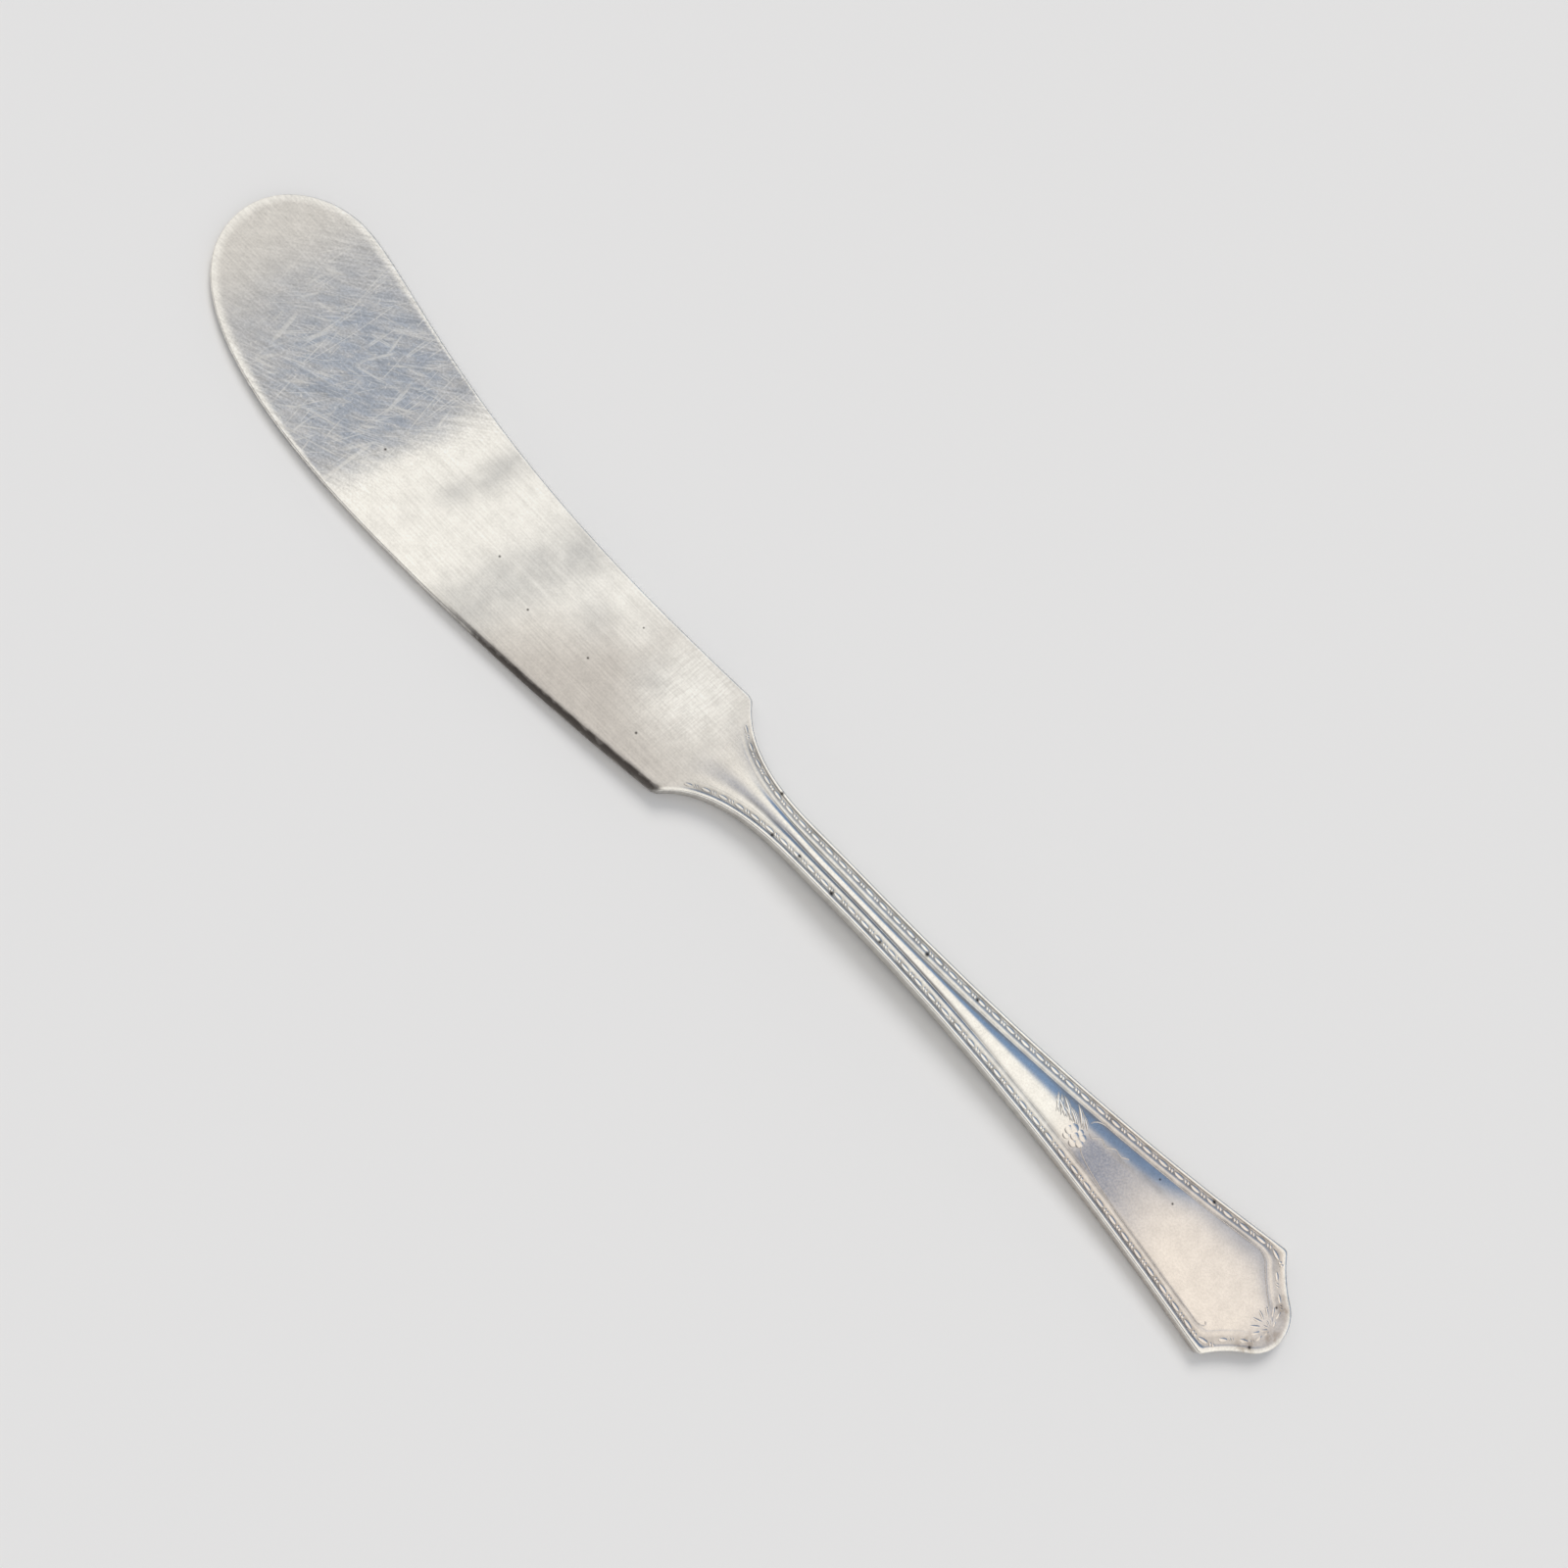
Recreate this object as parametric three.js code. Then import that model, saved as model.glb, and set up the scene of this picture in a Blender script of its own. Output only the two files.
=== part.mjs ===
// Butter spreader, struck from one piece of metal: a plain blade that sweeps to one side, and a
// flat handle with a rim, a bead band, a thread, a central rib and a shield-shaped end.
// Millimetres. +X runs from the handle's end to the blade's tip, +Y to the blade's full side
// (the belly), -Y to its hollow side (the spine), and +Z is the patterned side.
import * as THREE from 'three';

// Lengths along the axis
const HANDLE_LENGTH = 80.6; // handle's end to the heel of the blade
const BLADE_LENGTH = 69.4; // heel to tip
const SHOULDER_LENGTH = 13; // heel back to where the stem runs straight
const STEM_LENGTH = 7.5; // straight stem behind the shoulders
const END_DEPTH = 5.35; // handle's end to its two corners
const PANEL_LENGTH = 29.5; // handle's end to where the rib opens into the panel
const FOOT_LENGTH = 8; // underside of the handle's end that lies on the table

// Handle, seen from above
const END_WIDTH = 13.7; // across the two corners
const LOBE_RADIUS = 3.9; // rounded point of the end
const LOBE_SWEEP = THREE.MathUtils.degToRad(56); // to each side of the axis
const SHOULDER_ANGLE = THREE.MathUtils.degToRad(53.5); // at which the shoulders meet the heel

// Blade, seen from above
const HEEL_WIDTH = 13.4;
const BELLY_REACH = 9.05; // axis to the fullest point of the belly
const BELLY_AHEAD = 37; // heel to that point
const HOLLOW_REACH = 6.4; // axis to the hollow of the spine
const HOLLOW_AHEAD = 14.4; // heel to that hollow
const NOSE_REACH = 12.2; // axis to the far side of the nose
const NOSE_LENGTH = 9; // tip back to that point
const TIP_OFFSET = 4.2; // axis to the tip, toward the spine

// Thickness, and the rise of the stem off the table
const END_THICKNESS = 1.7;
const STEM_THICKNESS = 2.4;
const HEEL_THICKNESS = 2.1;
const TIP_THICKNESS = 0.9;
const ARCH_RISE = 0.65;

// Pattern across the handle, from the edge inward
const RIM_WIDTH = 0.38;
const LINE_WIDTH = 0.08; // sunk line on each side of the bead band
const BAND_WIDTH = 0.72;
const THREAD_WIDTH = 0.16;
const FLUTE_WIDTH = 0.26;
const RIB_WIDTH = 0.8; // central rib on the stem
const LINE_DEPTH = 0.14;
const FLUTE_DEPTH = 0.3;
const RIB_RISE = 0.06; // above the rim
const PANEL_DROP = 0.12; // panel's edge below the rim
const PANEL_RISE = 0.2; // panel's middle above the rim
const PANEL_RUN = 9; // length over which the rib turns into the panel
const PATTERN_FADE = 3; // length over which the pattern dies out into the heel

// Facets along each stretch of the outline
const FACETS = { lobe: 5, ogee: 4, flare: 26, stem: 4, shoulder: 9, blade: 30 };
const RIB_FACETS = [0, 0.4, 0.75, 1]; // shares of the rib's half width

const HEEL_X = HANDLE_LENGTH;
const TIP_X = HEEL_X + BLADE_LENGTH;
const SHOULDER_X = HEEL_X - SHOULDER_LENGTH;
const STEM_X = SHOULDER_X - STEM_LENGTH;
const BAND_OUT = RIM_WIDTH + LINE_WIDTH;
const BAND_IN = BAND_OUT + BAND_WIDTH;
const THREAD_OUT = BAND_IN + LINE_WIDTH;
const BORDER_WIDTH = THREAD_OUT + THREAD_WIDTH;
const STEM_HALF = BORDER_WIDTH + FLUTE_WIDTH + RIB_WIDTH / 2;

const { lerp, smoothstep } = THREE.MathUtils;
const rimTop = (x) => underside(x) + thickness(x);
const patternShare = (x) => 1 - smoothstep(x, HEEL_X - PATTERN_FADE, HEEL_X);
const panelShare = (x) => 1 - smoothstep(x, PANEL_LENGTH - PANEL_RUN / 2, PANEL_LENGTH + PANEL_RUN / 2);

// Height of the underside: flat under the blade and the handle's end, arched under the stem.
function underside(x) {
  const up = smoothstep(x, FOOT_LENGTH, STEM_X);
  const down = smoothstep(x, STEM_X, HEEL_X);
  return ARCH_RISE * (up - down);
}

// Thickness of the blank: heaviest at the stem, tapering quickly from the heel to the tip.
function thickness(x) {
  if (x < HEEL_X) {
    const handle = lerp(END_THICKNESS, STEM_THICKNESS, smoothstep(x, 0, STEM_X));
    return lerp(handle, HEEL_THICKNESS, smoothstep(x, STEM_X, HEEL_X));
  }
  const left = (TIP_X - x) / BLADE_LENGTH;
  return lerp(TIP_THICKNESS, HEEL_THICKNESS, Math.max(left, 0) ** 2.2);
}

// One side of the handle's outline, from the handle's end to the heel; side is +1 or -1.
function handleEdge(side) {
  const at = (x, y) => new THREE.Vector2(x, side * y);
  const lobeEnd = at(LOBE_RADIUS * (1 - Math.cos(LOBE_SWEEP)), LOBE_RADIUS * Math.sin(LOBE_SWEEP));
  const corner = at(END_DEPTH, END_WIDTH / 2);
  const reach = 0.5 * lobeEnd.distanceTo(corner);
  const ogee = at(lobeEnd.x + reach * Math.sin(LOBE_SWEEP), side * lobeEnd.y + reach * Math.cos(LOBE_SWEEP));
  const stemBack = at(STEM_X, STEM_HALF);
  const stemFront = at(SHOULDER_X, STEM_HALF);
  const heel = at(HEEL_X, HEEL_WIDTH / 2);
  const flare = at((END_DEPTH + STEM_X) / 2, STEM_HALF);
  const shoulder = at(HEEL_X - (HEEL_WIDTH / 2 - STEM_HALF) / Math.tan(SHOULDER_ANGLE), STEM_HALF);
  const lobe = new THREE.EllipseCurve(
    LOBE_RADIUS, 0, LOBE_RADIUS, LOBE_RADIUS, Math.PI, Math.PI - side * LOBE_SWEEP, side > 0,
  );
  return [
    ...stretch(lobe, FACETS.lobe),
    ...stretch(new THREE.QuadraticBezierCurve(lobeEnd, ogee, corner), FACETS.ogee),
    ...stretch(new THREE.QuadraticBezierCurve(corner, flare, stemBack), FACETS.flare),
    ...stretch(new THREE.LineCurve(stemBack, stemFront), FACETS.stem),
    ...stretch(new THREE.QuadraticBezierCurve(stemFront, shoulder, heel), FACETS.shoulder),
  ];
}

// Points along a curve, evenly spaced, without its last one.
function stretch(curve, count) {
  return curve.getSpacedPoints(count).slice(0, -1);
}

// The blade's full side, from the heel to the tip.
function bellyCurves() {
  const heel = new THREE.Vector2(HEEL_X, HEEL_WIDTH / 2);
  const full = new THREE.Vector2(HEEL_X + BELLY_AHEAD, BELLY_REACH);
  const tip = new THREE.Vector2(TIP_X, -TIP_OFFSET);
  const run = TIP_X - full.x;
  const fall = full.y - tip.y;
  return [
    new THREE.QuadraticBezierCurve(heel, new THREE.Vector2(heel.x + BELLY_AHEAD / 2, full.y), full),
    new THREE.CubicBezierCurve(
      full,
      new THREE.Vector2(full.x + 0.6 * run, full.y),
      new THREE.Vector2(tip.x, tip.y + 0.7 * fall),
      tip,
    ),
  ];
}

// The blade's hollow side, from the heel to the tip.
function spineCurves() {
  const heel = new THREE.Vector2(HEEL_X, -HEEL_WIDTH / 2);
  const hollow = new THREE.Vector2(HEEL_X + HOLLOW_AHEAD, -HOLLOW_REACH);
  const nose = new THREE.Vector2(TIP_X - NOSE_LENGTH, -NOSE_REACH);
  const tip = new THREE.Vector2(TIP_X, -TIP_OFFSET);
  const run = nose.x - hollow.x;
  const round = 0.55; // makes a cubic curve a quarter of an ellipse
  return [
    new THREE.QuadraticBezierCurve(heel, new THREE.Vector2(heel.x + HOLLOW_AHEAD / 2, hollow.y), hollow),
    new THREE.CubicBezierCurve(
      hollow,
      new THREE.Vector2(hollow.x + 0.6 * run, hollow.y),
      new THREE.Vector2(nose.x - 0.14 * run, nose.y),
      nose,
    ),
    new THREE.CubicBezierCurve(
      nose,
      new THREE.Vector2(nose.x + round * NOSE_LENGTH, nose.y),
      new THREE.Vector2(tip.x, tip.y + round * (nose.y - tip.y)),
      tip,
    ),
  ];
}

// One side of the blade, with facets that grow finer toward the tip.
function bladeEdge(curves) {
  const path = new THREE.CurvePath();
  curves.forEach((curve) => path.add(curve));
  return Array.from({ length: FACETS.blade + 1 }, (_, i) => path.getPoint(1 - (1 - i / FACETS.blade) ** 1.2));
}

// The whole outline as a loop: out along the belly side to the tip, and back along the spine side.
function outlineLoop() {
  const belly = [...handleEdge(1), ...bladeEdge(bellyCurves())];
  const spine = [...handleEdge(-1), ...bladeEdge(spineCurves())];
  return [...belly, ...spine.slice(1, -1).reverse()];
}

// Inward directions at the loop's points, mitred so that an offset loop stays parallel.
function inwardMitres(loop) {
  const normal = (a, b) => new THREE.Vector2(b.y - a.y, a.x - b.x).normalize();
  return loop.map((p, i) => {
    const before = normal(loop.at(i - 1), p);
    const after = normal(p, loop[(i + 1) % loop.length]);
    return before.clone().add(after).divideScalar(1 + before.dot(after));
  });
}

const outline = outlineLoop();
const mitres = inwardMitres(outline);
const LAST = outline.length / 2; // station of the tip; the handle's end is station 0
const spineIndex = (station) => (outline.length - station) % outline.length;

// The outline moved inward, with a height at each point.
function ring(inset, height) {
  return outline.map((p, i) => {
    const moved = p.clone().addScaledVector(mitres[i], inset(p.x));
    return new THREE.Vector3(moved.x, moved.y, height(moved.x));
  });
}

// Rings from the underside, round the edge and across the border to the edge of the field.
function borderRings() {
  const round = (x) => thickness(x) / 3;
  const steps = [
    [RIM_WIDTH / 2, 0],
    [RIM_WIDTH + LINE_WIDTH / 2, LINE_DEPTH],
    [BAND_OUT + LINE_WIDTH, LINE_DEPTH / 6],
    [BAND_IN - LINE_WIDTH, LINE_DEPTH / 6],
    [BAND_IN + LINE_WIDTH / 2, LINE_DEPTH],
    [THREAD_OUT + THREAD_WIDTH / 2, LINE_DEPTH / 6],
    [BORDER_WIDTH, LINE_DEPTH],
  ];
  return [
    ring(round, underside),
    ring(() => 0, (x) => underside(x) + round(x)),
    ring(() => 0, (x) => rimTop(x) - round(x)),
    ...steps.map(([inset, drop]) => ring(() => inset, (x) => rimTop(x) - drop * patternShare(x))),
  ];
}

// Half width of the rib: it fills the field between two flutes, and comes to a point at the heel.
function ribHalf(x, fieldHalf) {
  const behind = Math.min(fieldHalf - FLUTE_WIDTH, fieldHalf * 0.98);
  const pointed = (RIB_WIDTH / 2) * lerp(1, 0.3, smoothstep(x, SHOULDER_X, HEEL_X));
  const ahead = lerp(pointed, fieldHalf / 2, smoothstep(x, HEEL_X, HEEL_X + SHOULDER_LENGTH));
  return x < SHOULDER_X ? Math.max(behind, fieldHalf * 0.4) : ahead;
}

// One row of points across the field between the two borders, from belly side to spine side.
function fieldRow(a, b) {
  const half = a.distanceTo(b) / 2;
  const middle = a.clone().lerp(b, 0.5);
  const rib = ribHalf(middle.x, half) / half;
  const flute = (1 + rib) / 2;
  const outward = [...RIB_FACETS.map((share) => share * rib), flute];
  const across = [...outward.slice(1).reverse(), ...outward.map((share) => -share)];
  const inner = across.map((share) => {
    if (a === b) {
      return a; // the row at either end is a single point
    }
    const p = middle.clone().lerp(a, share);
    p.z = rimTop(p.x) - patternShare(p.x) * fieldDrop(p.x, Math.abs(share), rib);
    return p;
  });
  return [a, ...inner, b];
}

// Depth of the field below the rim at a share of its half width: rib or panel, then flute.
function fieldDrop(x, share, rib) {
  const deep = lerp(FLUTE_DEPTH, PANEL_DROP, panelShare(x));
  const rise = lerp(RIB_RISE, PANEL_RISE, panelShare(x));
  if (share <= rib) {
    return lerp(-rise, deep, (share / rib) ** 2);
  }
  return lerp(deep, LINE_DEPTH, (share - rib) / (1 - rib));
}

// Triangles of the closed skin; one that has shrunk to a line at either end is left out.
function skinGeometry() {
  const corners = [];
  const triangle = (a, b, c) => {
    if (!a.equals(b) && !b.equals(c) && !c.equals(a)) {
      corners.push(a, b, c);
    }
  };
  const quad = (a, b, c, d) => {
    triangle(a, b, c);
    triangle(a, c, d);
  };
  const rings = borderRings();
  rings.slice(1).forEach((upper, k) => {
    const lower = rings[k];
    upper.forEach((p, i) => {
      const next = (i + 1) % upper.length;
      quad(lower[i], p, upper[next], lower[next]);
    });
  });
  const rows = Array.from({ length: LAST + 1 }, (_, i) => i);
  const top = rows.map((i) => fieldRow(rings.at(-1)[i], rings.at(-1)[spineIndex(i)]));
  const base = rows.map((i) => [rings[0][spineIndex(i)], rings[0][i]]);
  [top, base].forEach((sheet) => {
    sheet.slice(1).forEach((row, i) => {
      row.slice(1).forEach((p, j) => quad(sheet[i][j], sheet[i][j + 1], p, row[j]));
    });
  });
  return new THREE.BufferGeometry().setFromPoints(corners);
}

// Centred over the origin, standing on the plane z = 0.
function centred(geometry) {
  geometry.computeBoundingBox();
  const { min, max } = geometry.boundingBox;
  geometry.translate(-(min.x + max.x) / 2, -(min.y + max.y) / 2, -min.z);
  geometry.computeVertexNormals();
  return geometry;
}

const silverPlate = new THREE.MeshStandardMaterial({ color: '#cfcac2', roughness: 0.35, metalness: 1 });
const spreader = new THREE.Mesh(centred(skinGeometry()), silverPlate);
spreader.name = 'butter_spreader';

const group = new THREE.Group();
group.name = 'butter_spreader_part';
group.add(spreader);

export default group;
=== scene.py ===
"""Looks of the butter spreader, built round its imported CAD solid: the struck silver-plated body,
its bead-and-reel border, the leaf plume with its rosette and tendril, the palmette at the handle's
end and the thread round the panel, with studio and camera."""

import math
from functools import partial

import bpy
import numpy as np
from mathutils import Matrix, Vector
from mathutils.bvhtree import BVHTree


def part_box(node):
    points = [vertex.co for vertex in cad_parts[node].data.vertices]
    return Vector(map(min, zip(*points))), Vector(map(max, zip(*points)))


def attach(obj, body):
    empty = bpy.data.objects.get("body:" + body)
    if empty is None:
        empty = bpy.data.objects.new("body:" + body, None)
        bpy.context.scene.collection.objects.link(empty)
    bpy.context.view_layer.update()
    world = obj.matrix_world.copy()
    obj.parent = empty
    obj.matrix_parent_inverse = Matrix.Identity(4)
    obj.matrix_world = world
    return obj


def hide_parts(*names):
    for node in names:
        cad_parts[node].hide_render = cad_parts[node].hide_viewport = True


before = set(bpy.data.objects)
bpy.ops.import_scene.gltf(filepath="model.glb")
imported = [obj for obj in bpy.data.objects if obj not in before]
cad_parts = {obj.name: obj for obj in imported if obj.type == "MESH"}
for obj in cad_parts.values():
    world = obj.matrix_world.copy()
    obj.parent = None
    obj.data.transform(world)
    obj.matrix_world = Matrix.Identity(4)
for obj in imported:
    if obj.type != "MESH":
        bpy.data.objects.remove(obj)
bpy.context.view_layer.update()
NODE = "butter_spreader"
BODY = "root"
MM = 0.001
LOW, HIGH = (np.array(corner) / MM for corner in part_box(NODE))

# Sizes in millimetres. x runs from the handle's end to the tip, y from the handle's axis to the
# belly of the blade, z up from the table. A pair named RUN is where a soft change begins and ends.
LENGTH = HIGH[0] - LOW[0]
HEEL_X = 80.6
SHOULDER_X = HEEL_X - 13
STEM_X = SHOULDER_X - 7.5
PANEL_X = 29.5
FOOT_X = 8
END_DEPTH = 5.35
END_HALF = 6.85
LOBE_RADIUS = 3.9
LOBE_SWEEP = math.radians(56)
OGEE_PULL = 0.5  # of the curve from the lobe to the corner
SHOULDER_ANGLE = math.radians(53.5)
HEEL_HALF = 6.7
BELLY_REACH = 9.05
BELLY_X = HEEL_X + 37
BELLY_PULL = (0.6, 0.7)  # of the curve from the full belly round to the tip, at its two ends
HOLLOW_REACH = 6.4
HOLLOW_X = HEEL_X + 14.4
SPINE_PULL = (0.6, 0.14)  # of the curve from the hollow to the nose
NOSE_REACH = 12.2
NOSE_X = LENGTH - 9
NOSE_PULL = 0.55
TIP_OFFSET = 4.2
AXIS_Y = HIGH[1] - BELLY_REACH  # the handle's axis in the row frame

END_THICKNESS = 1.7
STEM_THICKNESS = 2.4
HEEL_THICKNESS = 2.1
TIP_THICKNESS = 0.9
BLADE_TAPER = 2.2  # power of the thickness along the blade
ARCH_RISE = 0.65

# Pattern across the handle, from the edge inward
RIM = 0.5  # rounded, to its inner foot
BEAD_ROW = 0.6  # channel that holds the beads
THREAD = 0.26
FLUTE = 0.28
RIB = 0.88
BORDER = RIM + BEAD_ROW + THREAD
STEM_HALF = BORDER + FLUTE + RIB / 2
CHANNEL_DEPTH = 0.085  # below the rim
FLUTE_DEPTH = 0.12  # beside the stem's rib
GROOVE_DEPTH = 0.045  # round the panel
SHOULDER_DEPTH = 0.05  # beside the ridge at the shoulders
RIB_HEIGHT = 0.19  # from flute to crest, where the handle widens
STEM_RIB_HEIGHT = 0.12
RIDGE_HEIGHT = 0.05  # at the shoulders
PANEL_HEIGHT = 0.27
PANEL_LOW = 0.34  # of that height, toward the handle's end
EDGE_DROP = 0.04  # of the border's inner edge below the rim
BEAD_AT = RIM + BEAD_ROW / 2
STRUCK_END = 0.3  # share of the border's depth that is left at the handle's end
STRUCK_SHOULDER = 0.85
MITRE_RUN = 3.0  # length over which a corner's mitre eases into the sides
END_BORDER = 1.4  # the border's width at the handle's end, to its width along the sides
END_BORDER_RUN = (END_DEPTH - 0.5, END_DEPTH + 2.5)
END_ROUND = 0.4  # length on either side of a corner that is rounded
HEEL_ROUND = 0.6

# Along the handle
STRUCK_RUN = (3, 9)  # the border deepens from the worn end
FIELD_RUN = (BORDER, BORDER + 7)  # the end's border clears the field
PANEL_RUN = (14, 23)  # the panel rises
CREST_RUN = (PANEL_X, PANEL_X + 8)  # its middle becomes the rib's crest
FLUTE_RUN = (36, 52)  # the panel's groove becomes the flute
RIB_RUN = (42, 56)  # the rib lowers to the stem's
SHOULDER_RUN = (SHOULDER_X - 2, SHOULDER_X + 5)  # the border fades
RIDGE_RUN = (SHOULDER_X - 1, SHOULDER_X + 6)  # the rib becomes a ridge
RIDGE_OUT_RUN = (SHOULDER_X + 4, HEEL_X - 0.5)  # ridge and flutes run out
BORDER_OUT_RUN = (HEEL_X - 4, HEEL_X - 0.5)


def smooth(x, low, high):
    """0 at low, 1 at high, and an S curve between."""
    t = np.clip((np.asarray(x, float) - low) / (high - low), 0, 1)
    return t * t * (3 - 2 * t)


def hump(x, rise, fall):
    """0, then 1 from the end of a soft rise to the start of a soft fall, and 0 again."""
    return smooth(x, *rise) * (1 - smooth(x, *fall))


def mix(a, b, t):
    return a + (b - a) * t


def underside(x):
    return ARCH_RISE * (smooth(x, FOOT_X, STEM_X) - smooth(x, STEM_X, HEEL_X))


def thickness(x):
    handle = mix(END_THICKNESS, STEM_THICKNESS, smooth(x, 0, STEM_X))
    handle = mix(handle, HEEL_THICKNESS, smooth(x, STEM_X, HEEL_X))
    left = np.clip((LENGTH - x) / (LENGTH - HEEL_X), 0, 1)
    return np.where(x < HEEL_X, handle, mix(TIP_THICKNESS, HEEL_THICKNESS, left**BLADE_TAPER))


def rim_top(x):
    return underside(x) + thickness(x)


def border_share(x):
    """How far the border is struck: worn at the handle's end, fading at the shoulders, and gone
    before the blade."""
    shoulder = mix(1, STRUCK_SHOULDER, smooth(x, *SHOULDER_RUN))
    end = mix(STRUCK_END, 1, smooth(x, *STRUCK_RUN))
    return end * shoulder * (1 - smooth(x, *BORDER_OUT_RUN))


def flute_depth(x):
    """Depth of the flutes below the rim: they run out before the blade and at the handle's end."""
    depth = mix(GROOVE_DEPTH, FLUTE_DEPTH, smooth(x, *FLUTE_RUN))
    depth = mix(depth, SHOULDER_DEPTH, smooth(x, *RIDGE_RUN))
    depth = mix(EDGE_DROP * border_share(x), depth, smooth(x, *FIELD_RUN))
    return depth * (1 - smooth(x, *RIDGE_OUT_RUN))


def field_height(x):
    """Height of the rib's crest, or of the panel's middle, above the flutes."""
    height = mix(PANEL_LOW, 1, smooth(x, *PANEL_RUN)) * PANEL_HEIGHT
    height = mix(height, RIB_HEIGHT, smooth(x, *CREST_RUN))
    height = mix(height, STEM_RIB_HEIGHT, smooth(x, *RIB_RUN))
    height = mix(height, RIDGE_HEIGHT, smooth(x, *RIDGE_RUN))
    return height * hump(x, FIELD_RUN, RIDGE_OUT_RUN)


# Outline

CURVE_STEPS = 600
HANDLE_STATIONS = (24, 40, 160, 16, 56)  # along the lobe, ogee, flare, stem and shoulder
BLADE_STATIONS = 170


def walked(path):
    """Distance along a polyline at each of its points."""
    return np.r_[0, np.cumsum(np.hypot(*np.diff(path, axis=0).T))]


def points_at(path, steps, at):
    """Points of a polyline at distances along it, where steps are those of its own points."""
    return np.stack([np.interp(at, steps, path[:, k]) for k in range(2)], 1)


def unit(vectors):
    return vectors / np.linalg.norm(vectors, axis=1, keepdims=True)


def evenly(path, count):
    """count + 1 points at even steps along a polyline."""
    steps = walked(path)
    return points_at(path, steps, np.linspace(0, steps[-1], count + 1))


def bezier(*points):
    t = np.linspace(0, 1, CURVE_STEPS)[:, None]
    layer = [np.array(p, float)[None] for p in points]
    while len(layer) > 1:
        layer = [mix(a, b, t) for a, b in zip(layer, layer[1:])]
    return layer[0]


def handle_edge():
    """The handle's outline on the belly's side, from its end to the heel."""
    turn = np.linspace(0, LOBE_SWEEP, CURVE_STEPS)
    lobe = LOBE_RADIUS * np.stack([1 - np.cos(turn), np.sin(turn)], 1)
    corner = np.array([END_DEPTH, END_HALF])
    reach = OGEE_PULL * np.hypot(*(corner - lobe[-1]))
    ogee = lobe[-1] + reach * np.array([math.sin(LOBE_SWEEP), math.cos(LOBE_SWEEP)])
    stem = (STEM_X, STEM_HALF)
    shoulder = (SHOULDER_X, STEM_HALF)
    flare_x = HEEL_X - (HEEL_HALF - STEM_HALF) / math.tan(SHOULDER_ANGLE)
    runs = [
        lobe,
        bezier(lobe[-1], ogee, corner),
        bezier(corner, ((END_DEPTH + STEM_X) / 2, STEM_HALF), stem),
        bezier(stem, shoulder),
        bezier(shoulder, (flare_x, STEM_HALF), (HEEL_X, HEEL_HALF)),
    ]
    return np.concatenate([evenly(run, count)[:-1] for run, count in zip(runs, HANDLE_STATIONS)])


def belly_edge():
    full = (BELLY_X, BELLY_REACH)
    run = LENGTH - BELLY_X
    fall = BELLY_REACH + TIP_OFFSET
    rise = bezier((HEEL_X, HEEL_HALF), ((HEEL_X + BELLY_X) / 2, BELLY_REACH), full)
    leave = (BELLY_X + BELLY_PULL[0] * run, BELLY_REACH)
    arrive = (LENGTH, BELLY_PULL[1] * fall - TIP_OFFSET)
    return np.concatenate([rise[:-1], bezier(full, leave, arrive, (LENGTH, -TIP_OFFSET))])


def spine_edge():
    hollow = (HOLLOW_X, -HOLLOW_REACH)
    nose = (NOSE_X, -NOSE_REACH)
    run = NOSE_X - HOLLOW_X
    round_x = NOSE_X + NOSE_PULL * (LENGTH - NOSE_X)
    round_y = -TIP_OFFSET - NOSE_PULL * (NOSE_REACH - TIP_OFFSET)
    back = bezier((HEEL_X, -HEEL_HALF), ((HEEL_X + HOLLOW_X) / 2, -HOLLOW_REACH), hollow)
    leave = (HOLLOW_X + SPINE_PULL[0] * run, -HOLLOW_REACH)
    arrive = (NOSE_X - SPINE_PULL[1] * run, -NOSE_REACH)
    sweep = bezier(hollow, leave, arrive, nose)
    tip = bezier(nose, (round_x, -NOSE_REACH), (LENGTH, round_y), (LENGTH, -TIP_OFFSET))
    return np.concatenate([back[:-1], sweep[:-1], tip])


HANDLE_SIDE = handle_edge()
BELLY_SIDE = np.concatenate([HANDLE_SIDE, evenly(belly_edge(), BLADE_STATIONS)])
SPINE_SIDE = np.concatenate([HANDLE_SIDE * [1, -1], evenly(spine_edge(), BLADE_STATIONS)])
OUTLINE = np.concatenate([BELLY_SIDE, SPINE_SIDE[1:-1][::-1]])
CORNER = sum(HANDLE_STATIONS[:2])  # stations of the end's corner, the heel and the tip
HEEL = len(HANDLE_SIDE)
LAST = len(OUTLINE) // 2


def spine_index(station):
    """Place in the loop of the spine side's point opposite a station."""
    return (len(OUTLINE) - station) % len(OUTLINE)


def along_side(loop, side, stations):
    """Points of a loop at stations of its belly's or its spine's side."""
    return np.array([loop[i if side > 0 else spine_index(i)] for i in stations])


def inward_directions():
    """Unit inward normals along the outline, eased into a mitre at the four corners."""
    ahead = unit(np.roll(OUTLINE, -1, 0) - OUTLINE)
    behind = np.roll(ahead, 1, 0)
    tangent = unit(ahead + behind)
    inward = np.stack([tangent[:, 1], -tangent[:, 0]], 1)
    for corner in (CORNER, HEEL, spine_index(CORNER), spine_index(HEEL)):
        lean = math.tan(0.5 * math.acos(float(np.clip(ahead[corner] @ behind[corner], -1, 1))))
        inward[corner] *= math.sqrt(1 + lean**2)
        for way in (1, -1):
            away = 0.0
            i = corner
            while away < MITRE_RUN:
                step = (i + way) % len(OUTLINE)
                away += float(np.hypot(*(OUTLINE[step] - OUTLINE[i])))
                i = step
                inward[i] += way * tangent[i] * lean * max(0.0, 1 - away / MITRE_RUN)
    return inward


INWARD = inward_directions()
CORNER_SPAN = 24  # stations on either side of a corner that its rounding can touch


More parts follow.
